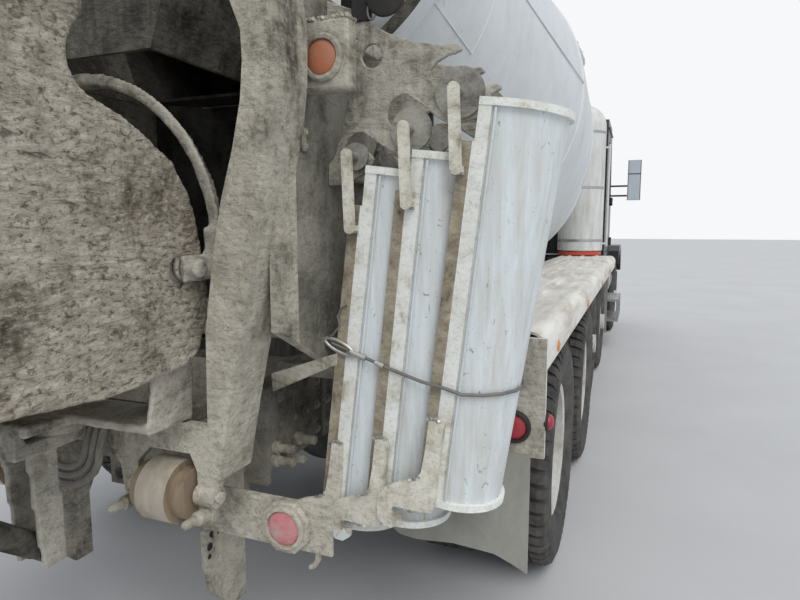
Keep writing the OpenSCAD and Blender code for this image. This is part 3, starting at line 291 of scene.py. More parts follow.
NODE_MATERIALS = {
    "chassis_frame": FRAME_PAINT, "front_bumper": CHROME, "front_axle": DARK_IRON,
    "rear_axles": DARK_IRON, "powertrain": ENGINE, "cab_shell": CAB_PAINT, "cab_glass": GLASS,
    "seats": FABRIC, "dashboard": PLASTIC, "fuel_tanks": BRUSHED, "cab_steps": BRUSHED,
    "exhaust_stack": CHROME, "mirrors": PLASTIC, "fenders": FENDER_PAINT, "mudflaps": FLAP,
    "water_tank": WHITE_PAINT, "front_pedestal": WHITE_PAINT, "drum_gearbox": GEARBOX,
    "rear_pedestal": CRUST, "charge_hopper": WHITE_PAINT, "discharge_hopper": CRUST_DARK_SHADE,
    "chute_rack": CRUST, "extension_chutes": CHUTE_PAINT, "chute_hooks": DISC_STEEL,
    "lashing_cable": CABLE, "hydraulic_hoses": HOSE, "tail_lamps": RED_LENS,
    "marker_lamps": ORANGE_LENS, "hood": CAB_PAINT, "grille": CHROME, "headlamps": LAMP_GLASS,
    "door_left": CAB_PAINT, "door_right": CAB_PAINT, "door_glass_left": GLASS,
    "door_glass_right": GLASS, "drum": DRUM_PAINT, "roller_left": ROLLER, "roller_right": ROLLER,
    "bumper_roller_left": ROLLER_TAN, "bumper_roller_right": ROLLER_TAN, "chute_swivel": CRUST,
    "main_chute": CRUST_CHUTE, "fold_chute": CRUST_CHUTE, "lift_barrel": CRUST_DARK_SHADE,
    "lift_rod": ROD, "knuckle_left": DARK_IRON, "knuckle_right": DARK_IRON,
}
for node_name, material in NODE_MATERIALS.items():
    node_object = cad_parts[node_name]
    node_object.data.materials.clear()
    node_object.data.materials.append(material)


# Pieces

FORWARD, REARWARD, OUTWARD, UPWARD = (1, 0, 0), (-1, 0, 0), (0, 1, 0), (0, 0, 1)


def linked(name, data):
    """A new object of a mesh, in the scene."""
    made = bpy.data.objects.new(name, data)
    bpy.context.collection.objects.link(made)
    return made


class Piece:
    """Gathers simple forms in millimetres, then becomes one object that rides on a body."""

    def __init__(self):
        self.mesh = bmesh.new()

    def add(self, points, faces):
        made = [self.mesh.verts.new(place(p)) for p in points]
        for face in faces:
            self.mesh.faces.new([made[i] for i in face])
        return self

    def prism(self, outline, axis, low, high):
        """An outline in the two other axes, drawn out along axis (0, 1 or 2) from low to high."""
        def at(p, level):
            q = [p[0], p[1]]
            q.insert(axis, level)
            return q
        n = len(outline)
        points = [at(p, low) for p in outline] + [at(p, high) for p in outline]
        sides = [(i, (i + 1) % n, n + (i + 1) % n, n + i) for i in range(n)]
        return self.add(points, [tuple(range(n)), tuple(range(2 * n - 1, n - 1, -1)), *sides])

    def box(self, low, high):
        outline = [(low[1], low[2]), (high[1], low[2]), (high[1], high[2]), (low[1], high[2])]
        return self.prism(outline, 0, low[0], high[0])

    def rings(self, points, count, n):
        """Skins count rings of n points and closes both ends."""
        faces = [(i * n + k, i * n + (k + 1) % n, (i + 1) * n + (k + 1) % n, (i + 1) * n + k)
                 for i in range(count - 1) for k in range(n)]
        last = (count - 1) * n
        return self.add(points, [*faces, tuple(range(n - 1, -1, -1)), tuple(range(last, last + n))])

    def lathe(self, centre, axis, profile, n=32):
        """Turns a profile of (distance along axis, radius) about an axis through centre."""
        turn = Vector(UPWARD).rotation_difference(Vector(axis).normalized()).to_matrix()
        points = []
        for along, radius in profile:
            for k in range(n):
                a = 2 * math.pi * k / n
                spoke = Vector((radius * math.cos(a), radius * math.sin(a), along))
                points.append(Vector(centre) + turn @ spoke)
        return self.rings(points, len(profile), n)

    def rod(self, start, end, radius, n=16):
        length = (Vector(end) - Vector(start)).length
        return self.lathe(start, Vector(end) - Vector(start), [(0, radius), (length, radius)], n)

    def bolt(self, centre, axis, radius=11, height=9):
        """A hexagon head on a washer."""
        self.lathe(centre, axis, [(0, radius * 1.5), (2.5, radius * 1.5)], 16)
        head = [(2, radius), (height - 1, radius), (height, radius * 0.8)]
        return self.lathe(centre, axis, head, 6)

    def tube(self, points, radius, n=10):
        """A round bar along a line of points."""
        points = [Vector(p) for p in points]
        around = []
        side = Vector((0.13, 0.21, 1))
        for i, p in enumerate(points):
            ahead, behind = points[min(i + 1, len(points) - 1)], points[max(i - 1, 0)]
            along = (ahead - behind).normalized()
            side = (side - along * side.dot(along)).normalized()
            v = along.cross(side)
            for k in range(n):
                a = 2 * math.pi * k / n
                around.append(p + radius * (math.cos(a) * side + math.sin(a) * v))
        return self.rings(around, len(points), n)

    def blob(self, centre, size, seed=0, roughness=0.5, detail=1):
        """A lump of weld or dried concrete."""
        ball = bmesh.new()
        bmesh.ops.create_icosphere(ball, subdivisions=detail, radius=1)
        points = []
        for v in ball.verts:
            swell = 1 + roughness * noise.noise(v.co * 1.7 + Vector((seed, seed * 0.7, 0)))
            points.append(Vector(centre) + Vector([v.co[i] * size[i] * swell for i in range(3)]))
        faces = [tuple(v.index for v in f.verts) for f in ball.faces]
        ball.free()
        return self.add(points, faces)

    def done(self, name, body, material, bevel=0.0, mirror=False, replaces=()):
        """Makes the object; mirror adds the same on the other side."""
        if mirror:
            whole = self.mesh.verts[:] + self.mesh.edges[:] + self.mesh.faces[:]
            for item in bmesh.ops.duplicate(self.mesh, geom=whole)["geom"]:
                if isinstance(item, bmesh.types.BMVert):
                    item.co.y = -item.co.y
        bmesh.ops.recalc_face_normals(self.mesh, faces=self.mesh.faces)
        data = bpy.data.meshes.new(name)
        self.mesh.to_mesh(data)
        self.mesh.free()
        made = linked(name, data)
        data.materials.append(material)
        if bevel:
            cut = made.modifiers.new("edges", "BEVEL")
            cut.width, cut.segments, cut.limit_method = bevel / 1000, 2, "ANGLE"
        for polygon in data.polygons:
            polygon.use_smooth = True
        data.set_sharp_from_angle(angle=math.radians(35))
        for node in replaces:
            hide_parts(node)
        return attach(made, body)


# CAD nodes under concrete and in more than one colour


def caked(node, body, voxel, depth, grain, material):
    """A copy of a CAD node with lumpy dried concrete on it, in its place."""
    made = linked(node + "_caked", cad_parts[node].data.copy())
    remesh = made.modifiers.new("cover", "REMESH")
    remesh.mode, remesh.voxel_size, remesh.use_smooth_shade = "VOXEL", voxel, True
    bpy.context.view_layer.update()
    covered = made.evaluated_get(bpy.context.evaluated_depsgraph_get())
    data = bpy.data.meshes.new_from_object(covered)
    made.modifiers.clear()
    made.data = data
    normals = [v.normal.copy() for v in data.vertices]
    for v, normal in zip(data.vertices, normals):
        lumps = noise.noise(v.co * grain) + 0.6 * noise.noise(v.co * grain * 2.9)
        v.co += normal * depth * lumps
    data.materials.clear()
    data.materials.append(material)
    for face in data.polygons:
        face.use_smooth = True
    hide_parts(node)
    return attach(made, body)


def recoloured(node, body, materials, choose, cuts=()):
    """A copy of a CAD node in its place, whose faces take the material that choose gives.

    choose gets the middle of a face and its normal. cuts are (point, normal) planes that faces
    are split at first.
    """
    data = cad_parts[node].data.copy()
    if cuts:
        split = bmesh.new()
        split.from_mesh(data)
        for point, normal in cuts:
            whole = split.verts[:] + split.edges[:] + split.faces[:]
            bmesh.ops.bisect_plane(split, geom=whole, plane_co=place(point), plane_no=normal)
        split.to_mesh(data)
        split.free()
    data.materials.clear()
    for material in materials:
        data.materials.append(material)
    for face in data.polygons:
        x, y, z = face.center * 1000
        face.material_index = choose(x - REAR_AXLE * 1000, y, z, face.normal)
    made = linked(node + "_two_tone", data)
    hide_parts(node)
    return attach(made, body)


# The hung chutes, as in part.scad: their middle along the truck, and (y, z) of the top and of the
# low end of each one's open side. OUT sizes are measured out of that side.
HANG_X = -1060
CHUTE_ROWS = [((-800, 1690), (-659, 620)),
              ((-935, 1726), (-811, 656)),
              ((-1115, 1848), (-976, 735))]
CHUTE_R, CHUTE_LOW_R = 165, 132
ROUND_OUT = -40
STRIP_OUT, STRIP_DIRT_AND_SHADE_OUT, STRIP_END_OUT = -35, 6, 47
RIM_HEIGHT, RIM_REACH, RIM_HALF = 21, 9, 6
HOOK_STEP = 14
DRUM_MIDDLE = (2200, 0, 2350)
DRUM_AXIS = Vector((-math.cos(math.radians(12)), 0, math.sin(math.radians(12))))
WING_END_X, BULKHEAD_X = -1368, -600
TAIL_END_X, RAIL_DUST_AND_SHADE_X = -1215, -700


def chute_lean(k):
    (top_y, top_z), (low_y, low_z) = CHUTE_ROWS[k]
    return math.atan2(low_y - top_y, top_z - low_z)


def chute_length(k):
    top, low = CHUTE_ROWS[k]
    return math.hypot(top[0] - low[0], top[1] - low[1])


def chute_radius(k, up):
    return CHUTE_LOW_R + (CHUTE_R - CHUTE_LOW_R) * up / chute_length(k)


def on_chute(k, x, out, up):
    """A place on hung chute k: x along the truck, out of its open side, up from its lower end."""
    c, s = math.cos(chute_lean(k)), math.sin(chute_lean(k))
    low = CHUTE_ROWS[k][1]
    return (x, low[0] + out * c - up * s, low[1] + out * s + up * c)


def strip_cuts():
    """Planes along each chute where the dirt and painted shade on its strips begin and where the
    strips end.
    """
    return [(on_chute(k, 0, out, 0), (0, math.cos(chute_lean(k)), math.sin(chute_lean(k))))
            for k in range(3) for out in (STRIP_DIRT_AND_SHADE_OUT, STRIP_OUT)]


def chute_part(x, y, z, normal):
    """0 trough, 1 edge of a strip, dirty and in painted shade of the gap beside it, 2 hooks and
    handles, 3 strips and rims.
    """
    across = abs(x - HANG_X)
    narrowest = CHUTE_R
    for k in range(3):
        c, s = math.cos(chute_lean(k)), math.sin(chute_lean(k))
        low, length = CHUTE_ROWS[k][1], chute_length(k)
        out = (y - low[0]) * c + (z - low[1]) * s
        up = -(y - low[0]) * s + (z - low[1]) * c
        if not -2 <= up <= length + 2:
            continue
        radius = chute_radius(k, up)
        narrowest = min(narrowest, radius)
        reach = math.hypot(across, out - ROUND_OUT) if out < ROUND_OUT else across
        low_rim = up < RIM_HEIGHT and abs(reach - CHUTE_LOW_R - RIM_REACH) < RIM_HALF
        top_rim = up > length - RIM_HEIGHT and abs(reach - CHUTE_R - RIM_REACH) < RIM_HALF
        if low_rim or top_rim:
            return 3
        if STRIP_OUT < out < STRIP_END_OUT and radius - 4 < across < radius + 12:
            return 1 if out > STRIP_DIRT_AND_SHADE_OUT else 3
    return 2 if across > narrowest + 13 else 0


def pedestal_part(x, y, z, normal):
    """0 wings, 1 side walls in painted shade of the drum, 2 bulkhead under the drum in painted deep
    shade.
    """
    if x > BULKHEAD_X:
        return 2
    return int(x > WING_END_X and normal.y * y > 0.5 * abs(y) and abs(y) > 560)


def hooks_part(x, y, z, normal):
    """0 throughout, because the hooks have one material."""
    return 0


def fender_part(x, y, z, normal):
    """0 paint, 1 caked rear end face."""
    return int(x < -845 and normal.x < -0.5)


def frame_part(x, y, z, normal):
    """0 painted rails, 1 caked tail brackets, 2 dusty rear end of the rails in painted shade."""
    return 1 if x < TAIL_END_X else 2 if x < RAIL_DUST_AND_SHADE_X else 0


def drum_part(x, y, z, normal):
    """0 paint outside, 1 concrete on the mouth's end face and inside, darkened as painted shade."""
    arm = Vector((x, y, z)) - Vector(DRUM_MIDDLE)
    outward = (arm - DRUM_AXIS * arm.dot(DRUM_AXIS)).normalized()
    return int(normal.dot(DRUM_AXIS) > 0.7 or outward.dot(normal) < -0.3)


def roller_part(x, y, z, normal):
    """0 ends, 1 pale band in the middle."""
    return int(abs(abs(y) - 322) < 30)


def mirror_part(x, y, z, normal):
    """0 housing and arms, 1 glass that looks to the rear."""
    return int(normal.x < -0.9 and abs(y) > 1300 and x < 6100)


def across_at(x):
    """A plane across the truck, to split faces at."""
    return ((x, 0, 0), FORWARD)


# Small fittings at the rear. Those with mirror=True stand on both sides.


def hopper_walls():
    """The trough from the drum's mouth into the discharge hopper, in line with its sides, in very
    dark crust that paints the deep shade inside it.
    """
    rear_x, front_x, thick = -918, -440, 10
    floor_line = [(rear_x, 1987), (front_x, 2062)]
    low_z, low_half, rise, spread = 1985, 300, 715, 260
    mouth_z, mouth_r, mouth_half = 2859, 700, 400

    def half_width(z):
        return low_half + (z - low_z) * spread / rise
    walls = Piece()
    for s in (1, -1):
        inner = [*floor_line, (front_x, 2560), (rear_x, 2698)]
        points = [(x, s * (half_width(z) + offset), z)
                  for offset in (-3, -3 - thick) for x, z in inner]
        walls.add(points, [(0, 1, 2, 3), (7, 6, 5, 4), (0, 4, 5, 1), (1, 5, 6, 2), (2, 6, 7, 3),
                           (3, 7, 4, 0)])
    points = [(x, s * (half_width(z) - 14), z + lift)
              for lift in (0, thick) for x, z in floor_line for s in (1, -1)]
    walls.add(points, [(0, 1, 3, 2), (6, 7, 5, 4), (0, 2, 6, 4), (1, 5, 7, 3), (0, 4, 5, 1),
                       (2, 3, 7, 6)])
    collar_low = floor_line[1][1]
    collar = [(-half_width(collar_low), collar_low), (half_width(collar_low), collar_low)]
    collar += [(y, mouth_z - math.sqrt(mouth_r ** 2 - y ** 2))
               for y in range(mouth_half, -mouth_half - 1, -50)]
    walls.prism(collar, 0, front_x, front_x + thick)
    walls.done("hopper_trough", "chassis", CRUST_DEEP_SHADE)


def chute_ribs():
    """The thin rolled rib beside each strip."""
    end_gap, steps, rib_out, rib_reach, rib_r = 24, 8, -44, 8, 3.5
    ribs = Piece()
    for k in range(3):
        for side in (1, -1):
            points = []
            for i in range(steps + 1):
                up = end_gap + (chute_length(k) - 2 * end_gap) * i / steps
                reach = chute_radius(k, up) + rib_reach
                points.append(on_chute(k, HANG_X + side * reach, rib_out, up))
            ribs.tube(points, rib_r, 8)
    ribs.done("chute_ribs", "chassis", CHUTE_PAINT)


def chute_welds():
    """Bright beads where hooks and handles are welded on."""
    hook_x, handle_x = HANG_X - 156, -1234
    on_hooks = [(-9, 268), (2, 271), (13, 269), (24, 264), (29, 92), (40, 84), (52, 78), (24, -11),
                (40, -13), (56, -12)]
    on_handles = [(-759, 1519), (-925, 1583), (-1060, 1669)]
    beads = Piece()
    for k in range(3):
        for i, (out, up) in enumerate(on_hooks):
            beads.blob(on_chute(k, hook_x - HOOK_STEP * k, out, up), (8, 8, 5), 7 * k + i)
    for k, (y, z) in enumerate(on_handles):
        for i in range(5):
            beads.blob((handle_x, y - 12 + 6 * i, z - 11), (5, 5, 4), 40 + 5 * k + i)
    beads.done("chute_welds", "chassis", WELD)


def lamp(name, centre, radius, rim, material, bezel, node):
    """A domed lens in a raised round bezel that looks to the rear, on both sides."""
    ring = [(0, radius + rim), (7, radius + rim), (12, radius + rim * 0.6), (12, radius + 1),
            (3, radius - 1)]
    Piece().lathe(centre, REARWARD, ring, 40).done(name + "_bezel", "chassis", bezel, mirror=True)
    angles = [math.radians(90 - 15 * i) for i in range(7)]
    dome = [(2 + 11 * math.cos(a), radius * math.sin(a)) for a in angles]
    dome[-1] = (dome[-1][0], 0.5)
    Piece().lathe(centre, REARWARD, dome, 40).done(name + "_lens", "chassis", material,
                                                    mirror=True, replaces=(node,))


def marker_lamps():
    Piece().box((-1339, 655, 1872), (-1280, 799, 2048)).done(
        "marker_housing", "chassis", CRUST_PALE, bevel=9, mirror=True)
    lamp("marker", (-1339, 727, 1953), 45, 15, ORANGE_LENS, CRUST_PALE, "marker_lamps")


def marker_crust():
    """Rows of hardened lumps on the flat top of the marker lamp's housing."""
    low, high, top_z, step = (-1334, 664), (-1284, 796), 2050, 13
    sway, size = step * 0.4, (8, 6.4, 7.2)
    lumps = Piece()
    x = low[0]
    while x <= high[0]:
        y = low[1]
        while y <= high[1]:
            sway_x = sway * noise.noise(Vector((x, y, 3)) * 0.13)
            sway_y = sway * noise.noise(Vector((y, x, 7)) * 0.13)
            lumps.blob((x + sway_x, y + sway_y, top_z), size, x + y)
            y += step
        x += step * 1.1
    lumps.done("marker_crust", "chassis", CRUST_PALE, mirror=True)


def side_markers():
    """Round red lamps in rubber on the fenders' sides, near their rear ends."""
    centre = (-850, 1250, 905)
    base = [(-4, 31), (6, 31), (9, 27), (3, 25)]
    dome = [(2, 25), (10, 25), (18, 21), (23, 12), (25, 1)]
    Piece().lathe(centre, OUTWARD, base, 32).done(
        "side_marker_base", "chassis", BLACK_RUBBER, mirror=True)
    Piece().lathe(centre, OUTWARD, dome, 32).done(
        "side_marker_lens", "chassis", RED_LENS, mirror=True)


def octagon(y, z, r):
    corners = [math.radians(22.5 + 45 * i) for i in range(8)]
    return [(y + r * math.cos(a), z + r * math.sin(a)) for a in corners]


def tail_lamps():
    Piece().prism(octagon(634, 706, 78), 0, -1424, -1404).done(
        "tail_housing", "chassis", CRUST, bevel=4, mirror=True)
    lamp("tail", (-1422, 634, 706), 50, 12, PINK_LENS, CRUST, "tail_lamps")


def stop_lamps():
    """Round red lamps in rubber on the fenders' end faces."""
    y, z = 1154, 887
    grommet = [(0, 54), (9, 54), (15, 49), (16, 43), (6, 39)]
    dome = [(0, 40), (5, 39), (9, 31), (11, 17), (12, 1)]
    Piece().lathe((-880, y, z), REARWARD, grommet, 40).done(
        "stop_grommet", "chassis", BLACK_RUBBER, mirror=True)
    Piece().lathe((-884, y, z), REARWARD, dome, 40).done(
        "stop_lens", "chassis", RED_LENS, mirror=True)


def lamp_clasp():
    """The small hook beside the right tail lamp."""
    outline = [(-706, 656), (-722, 660), (-734, 648), (-735, 622), (-722, 600), (-700, 592),
               (-700, 604), (-714, 612), (-722, 626), (-722, 642), (-714, 648)]
    Piece().prism(outline, 0, -1412, -1398).done(
        "lamp_bracket_clasp", "chassis", CRUST_PALE, bevel=2)


def roller_pins():
    """The stepped ends of the pins that carry the bumper rollers."""
    profile = [(0, 19), (40, 19), (46, 13), (84, 12), (92, 7), (95, 1)]
    pins = Piece()
    for y in (190, 445):
        pins.lathe((-1508, y, 752), (-1, 0, 0.05), profile, 20)
    pins.done("bumper_pins", "chassis", CRUST_PALE, mirror=True)


def clip_plate():
    clip = Piece().box((-1345, 659, 1722), (-1312, 667, 1784))
    for z in (1734, 1772):
        clip.bolt((-1329, 667, z), OUTWARD, 7, 7)
    clip.done("clip_plate", "chassis", CRUST, bevel=1.5, mirror=True)


RAIL_SIDE = 430


def frame_bolts():
    """Bolts of the pedestal's foot, close together, and of the crossmembers along the rails."""
    bolts = Piece()
    for x in range(-1120, -560, 80):
        for z in (790, 880, 970):
            bolts.bolt((x, RAIL_SIDE, z), OUTWARD, 12, 12)
    for x in range(-400, 7200, 400):
        for z in (785, 975):
            bolts.bolt((x, RAIL_SIDE, z), OUTWARD, 11, 10)
    bolts.done("frame_bolts", "chassis", BOLT, mirror=True)


def frame_stubs():
    """Long bolt ends that stand out of the rails behind the wheels."""
    profile = [(0, 22), (18, 22), (20, 15), (72, 15), (76, 11)]
    stubs = Piece()
    for x, z in ((-1152, 812), (-1092, 760), (-1158, 772), (-1020, 800)):
        stubs.lathe((x, RAIL_SIDE, z), OUTWARD, profile, 14)
    stubs.done("frame_stubs", "chassis", CRUST_PALE, mirror=True)


def rack_brace():
    outline = [(-528, 1046), (-524, 1100), (-738, 1176), (-738, 1144)]
    Piece().prism(outline, 0, -1304, -1296).done(
        "rack_brace", "chassis", CRUST_PALE, bevel=1.5, mirror=True)


def bracket_holes():
    """Discs of painted shade for small holes and nicks in the tail brackets, as (x, z, foot, top).
    """
    marks = ((-1381, 611, 7, 9), (-1389, 575, 5, 13), (-1392, 545, 7, 8), (-1369, 640, 8, 5),
             (-1340, 632, 9, 5), (-1312, 641, 6, 5), (-1376, 600, 4, 4), (-1350, 600, 5, 4))
    spots = Piece()
    for x, z, foot, top in marks:
        spots.lathe((x, 349, z), OUTWARD, [(0, foot), (1.6, top)], 10)
    spots.done("bracket_holes", "chassis", HOLE_SHADE, mirror=True)


def round_plate():
    """The rubber disc on top of the right rack and the loop of wire beside it."""
    plate_x = -1196
    profile = [(0, 56), (5, 59), (12, 57), (14, 50)]
    disc = Piece().lathe((plate_x, -845, 2138), REARWARD, profile, 40)
    disc.box((plate_x, -800, 2080), (plate_x + 12, -740, 2140))
    disc.done("round_plate", "chassis", BLACK_RUBBER, bevel=2)
    angles = [math.radians(30 * i) for i in range(13)]
    loop = [(plate_x - 8, -805 + 12 * math.sin(a), 2100 + 24 * math.cos(a)) for a in angles]
    Piece().tube(loop, 3, 8).done("rack_wire", "chassis", CABLE)


def cable_hook():
    """Carabiner and ferrules of the lashing cable."""
    oval = []
    for i in range(17):
        a = 2 * math.pi * i / 16
        oval.append((-1226, -707 + 46 * math.cos(a) - 7 * math.sin(a),
                     1178 + 20 * math.cos(a) + 13 * math.sin(a)))
    hook = Piece().tube(oval, 5.5)
    hook.rod((-1226, -742, 1166), (-1225, -790, 1150), 8.5)
    hook.rod((-1225, -820, 1141), (-1225, -846, 1132), 8)
    hook.done("cable_hook", "chassis", WELD)


def cable_tail():
    route = [(-1226, -668, 1200), (-1230, -690, 1216), (-1232, -712, 1240), (-1229, -704, 1268),
             (-1228, -716, 1292), (-1228, -734, 1300)]
    Piece().tube(route, 3.2).done("cable_tail", "chassis", CABLE)


# Drum, fenders and water tank

# (start and end along the drum's axis, radius at each, angle round it)
LENGTHWISE_SEAMS = ((470, 1950, 1094, 810, -176), (-420, 470, 1100, 1094, -150),
                    (-420, 470, 1100, 1094, 20), (470, 1950, 1094, 810, 10),
                    (-1250, -420, 976, 1100, 170), (1950, 2390, 810, 729, 150))


def drum_point(s, angle, radius):
    """A place s along the drum's axis from its middle, and round it by angle."""
    down = Vector((-DRUM_AXIS.z, 0, DRUM_AXIS.x))
    spoke = math.cos(angle) * Vector(OUTWARD) + math.sin(angle) * down
    return Vector(DRUM_MIDDLE) + DRUM_AXIS * s + radius * spoke


def drum_seams():
    """Weld seams between the drum's rolled plates; the lengthwise ones are staggered."""
    width, height, steps = 7, 3, 8
    seams = Piece()
    for s, radius in ((-1250, 974), (470, 1093), (1950, 810), (-420, 1100)):
        bead = [(s - width, radius - 8), (s - width / 2, radius + height),
                (s + width / 2, radius + height), (s + width, radius - 8)]
        seams.lathe(DRUM_MIDDLE, DRUM_AXIS, bead, 120)
    for first, last, r0, r1, angle in LENGTHWISE_SEAMS:
        a = math.radians(angle)
        line = [drum_point(first + (last - first) * i / steps, a, r0 + (r1 - r0) * i / steps)
                for i in range(steps + 1)]
        seams.tube(line, 4, 6)
    seams.done("drum_seams", "drum", DRUM_PAINT)


def drum_hatches():
    """Round covers with a ring of bolts, on opposite sides of the drum."""
    cover, bolt_ring, bolt_count = [(0, 250), (18, 250), (22, 244)], 224, 16
    covers = Piece()
    for angle in (35, 215):
        a = math.radians(angle)
        outward = (drum_point(0, a, 1) - Vector(DRUM_MIDDLE)).normalized()
        side = DRUM_AXIS.cross(outward)
        middle = drum_point(60, a, 1088)
        covers.lathe(middle, outward, cover, 48)
        for i in range(bolt_count):
            b = 2 * math.pi * i / bolt_count
            spoke = math.cos(b) * DRUM_AXIS + math.sin(b) * side
            covers.bolt(middle + bolt_ring * spoke + outward * 21, outward, 12, 10)
    covers.done("drum_hatches", "drum", DRUM_PAINT, bevel=2)


def fender_ribs():
    ribs = Piece()
    for y in (672, 840, 1010):
        ribs.box((-862, y, 1192), (4598, y + 14, 1200))
    ribs.done("fender_ribs", "chassis", FENDER_PAINT, bevel=3, mirror=True)


def fender_reflectors():
    strip = Piece()
    for x in (-600, 700, 2000, 3300, 4400):
        strip.lathe((x, 1250, 1105), OUTWARD, [(0, 20), (4, 20), (6, 14)], 20)
    strip.done("fender_reflectors", "chassis", AMBER_LENS, mirror=True)


def front_flap_panels():
    Piece().box((4591, 1040, 680), (4596, 1176, 1010)).done(
        "front_flap_panel", "chassis", LAMP_RED, bevel=2, mirror=True)


def tank_bands():
    """Bands, filler cap and red base ring of the water tank."""
    x, y = 4560, -850
    tank = Piece()
    for z in (1360, 1950, 2560):
        tank.lathe((x, y, z), UPWARD, [(0, 250), (2, 254), (26, 254), (28, 250)], 64)
    tank.lathe((x, y, 2878), UPWARD, [(0, 70), (16, 70), (20, 62), (44, 60), (48, 50)], 32)
    tank.done("tank_bands", "chassis", BRUSHED)
    Piece().lathe((x, y, 1206), UPWARD, [(0, 236), (4, 240), (40, 240), (44, 236)], 64).done(
        "tank_base", "chassis", LAMP_RED)


# Cab, hood and front bumper


def wiper(side, y):
    """An arm and blade lying on the sloping windscreen."""
    screen_x, screen_z, lean, stand_off = 6150, 2000, 0.372, 22

    def on_screen(across, up):
        return (screen_x - lean * (up - screen_z) + stand_off, across, up)
    made = Piece().rod(on_screen(y, 1880), on_screen(y + 120, 2200), 6)
    made.rod(on_screen(y - 160, 2090), on_screen(y + 330, 2290), 7)
    made.lathe(on_screen(y, 1870), (1, 0, 0.4), [(-20, 20), (6, 20), (10, 14)], 16)
    made.done(f"wiper_{side}", "chassis", BLACK_RUBBER)


def roof_lamps():
    x, z = 5705, 2812
    lamps, bases = Piece(), Piece()
    for y in (-800, -260, 0, 260, 800):
        bases.box((x - 50, y - 50, z - 15), (x + 50, y + 50, z))
        lamps.blob((x, y, z), (42, 40, 26), roughness=0.0, detail=3)
    bases.done("roof_lamp_bases", "chassis", CHROME, bevel=4)
    lamps.done("roof_lamps", "chassis", AMBER_LENS)


def drip_rails():
    rails = Piece().box((4990, 1096, 2688), (5840, 1118, 2704))
    rails.box((5100, 1098, 1172), (6060, 1106, 1188))
    rails.done("cab_drip_rails", "chassis", CAB_PAINT, bevel=3, mirror=True)


def step_treads():
    pitch, wide = 52, 22
    ribs = Piece()
    for z in (386, 636):
        for i in range(15):
            x = 5110 + pitch * i
            ribs.box((x, 1092, z), (x + wide, 1278, z + 4))
    ribs.done("step_treads", "chassis", BRUSHED, bevel=1, mirror=True)


def fuel_tank_fittings():
    """Straps round the fuel tanks, and their filler caps on a sloping neck."""
    y, z = 870, 850
    straps = Piece()
    for x in (5156, 5706):
        straps.lathe((x, y, z), FORWARD, [(0, 298), (2, 301), (26, 301), (28, 298)], 64)
    straps.done("tank_straps", "chassis", CHROME, mirror=True)
    cap = [(-20, 46), (10, 46), (12, 56), (34, 56), (38, 48)]
    Piece().lathe((5420, y + 175, z + 232), (0, 0.6, 0.8), cap, 32).done(
        "fuel_caps", "chassis", CHROME, mirror=True)


def mirror_trim():
    """Rubber round the two glasses of each mirror."""
    rear_x, front_x = 6075, 6081
    trim = Piece()
    for low, high in ((1895, 2230), (2245, 2414)):
        for y in (1316, 1468):
            trim.prism([(y, low), (y + 6, low), (y + 6, high), (y, high)], 0, rear_x, front_x)
    trim.box((rear_x - 1, 1314, 2231), (front_x, 1476, 2243))
    trim.done("mirror_trim", "chassis", BLACK_RUBBER, mirror=True)


def headlamps():
    dome = [(0, 66), (6, 64), (14, 52), (19, 30), (21, 1)]
    rim = [(0, 75), (8, 74), (9, 66), (2, 64)]
    lenses, rims = Piece(), Piece()
    for y in (885, 1045):
        lenses.lathe((7478, y, 975), FORWARD, dome, 40)
        rims.lathe((7480, y, 975), FORWARD, rim, 40)
    lenses.done("headlamp_lenses", "hood", LAMP_GLASS, mirror=True)
    rims.done("headlamp_rims", "hood", CHROME, mirror=True)


def hood_latches():
    latch = Piece().box((6300, 640, 1240), (6330, 668, 1330))
    latch.lathe((6315, 665, 1335), OUTWARD, [(-8, 22), (6, 22), (10, 16)], 20)
    latch.done("hood_latches", "hood", BLACK_RUBBER, bevel=3, mirror=True)


def turn_lamps():
    Piece().box((7440, 1180, 990), (7474, 1226, 1060)).done(
        "turn_lamps", "hood", AMBER_LENS, bevel=6, mirror=True)


def grille_mesh():
    wire_r = 1.6
    mesh = Piece()
    for z in range(1104, 1536, 12):
        mesh.rod((7498, -436, z), (7498, 436, z), wire_r, 6)
    for y in range(-430, 432, 20):
        mesh.rod((7496, y, 1096), (7496, y, 1534), wire_r, 6)
    mesh.done("grille_mesh", "hood", DARK_IRON)


def bumper_bolts():
    bolts = Piece()
    for y in (370, 700, 1080):
        for z in (560, 770):
            bolts.bolt((7700, y, z), FORWARD, 13, 9)
    bolts.done("bumper_bolts", "chassis", CHROME, mirror=True)


# Wheels: the rim and hub of the CAD wheel with a treaded tyre

CASING = [(99, 291), (115, 338), (126, 360), (137, 408), (134, 455), (126, 478)]
RIBBED = [(118, 492), (103, 505), (93, 510), (60, 510), (57, 497), (51, 497), (48, 510), (22, 510),
          (19, 497), (13, 497), (10, 510)]
UNDER_LUGS = [(112, 489), (90, 496)]
SHOULDER_LUG = [(56, 510), (93, 510), (121, 496), (135, 460), (127, 456), (108, 484), (56, 492)]
MIDDLE_LUG = [(6, 510), (46, 510), (46, 490), (6, 490)]
LUG_COUNT = 54
RIM_TOP_M = 0.2985


def wheel_row(mesh, points, side_y):
    """New corners from (across, radius, angle) in millimetres about the wheel's axis."""
    return [mesh.verts.new((radius / 1000 * math.cos(a), (side_y + across) / 1000,
                            radius / 1000 * math.sin(a))) for across, radius, a in points]


def casing(mesh, half, side_y, n=96):
    """Adds a closed ring, from (across, radius) points of one half of its section."""
    rows = []
    for across, radius in half + [(-a, r) for a, r in reversed(half)]:
        around = [(across, radius, 2 * math.pi * k / n) for k in range(n)]
        rows.append(wheel_row(mesh, around, side_y))
    for a, b in zip(rows, rows[1:]):
        for k in range(n):
            mesh.faces.new((a[k], a[(k + 1) % n], b[(k + 1) % n], b[k]))


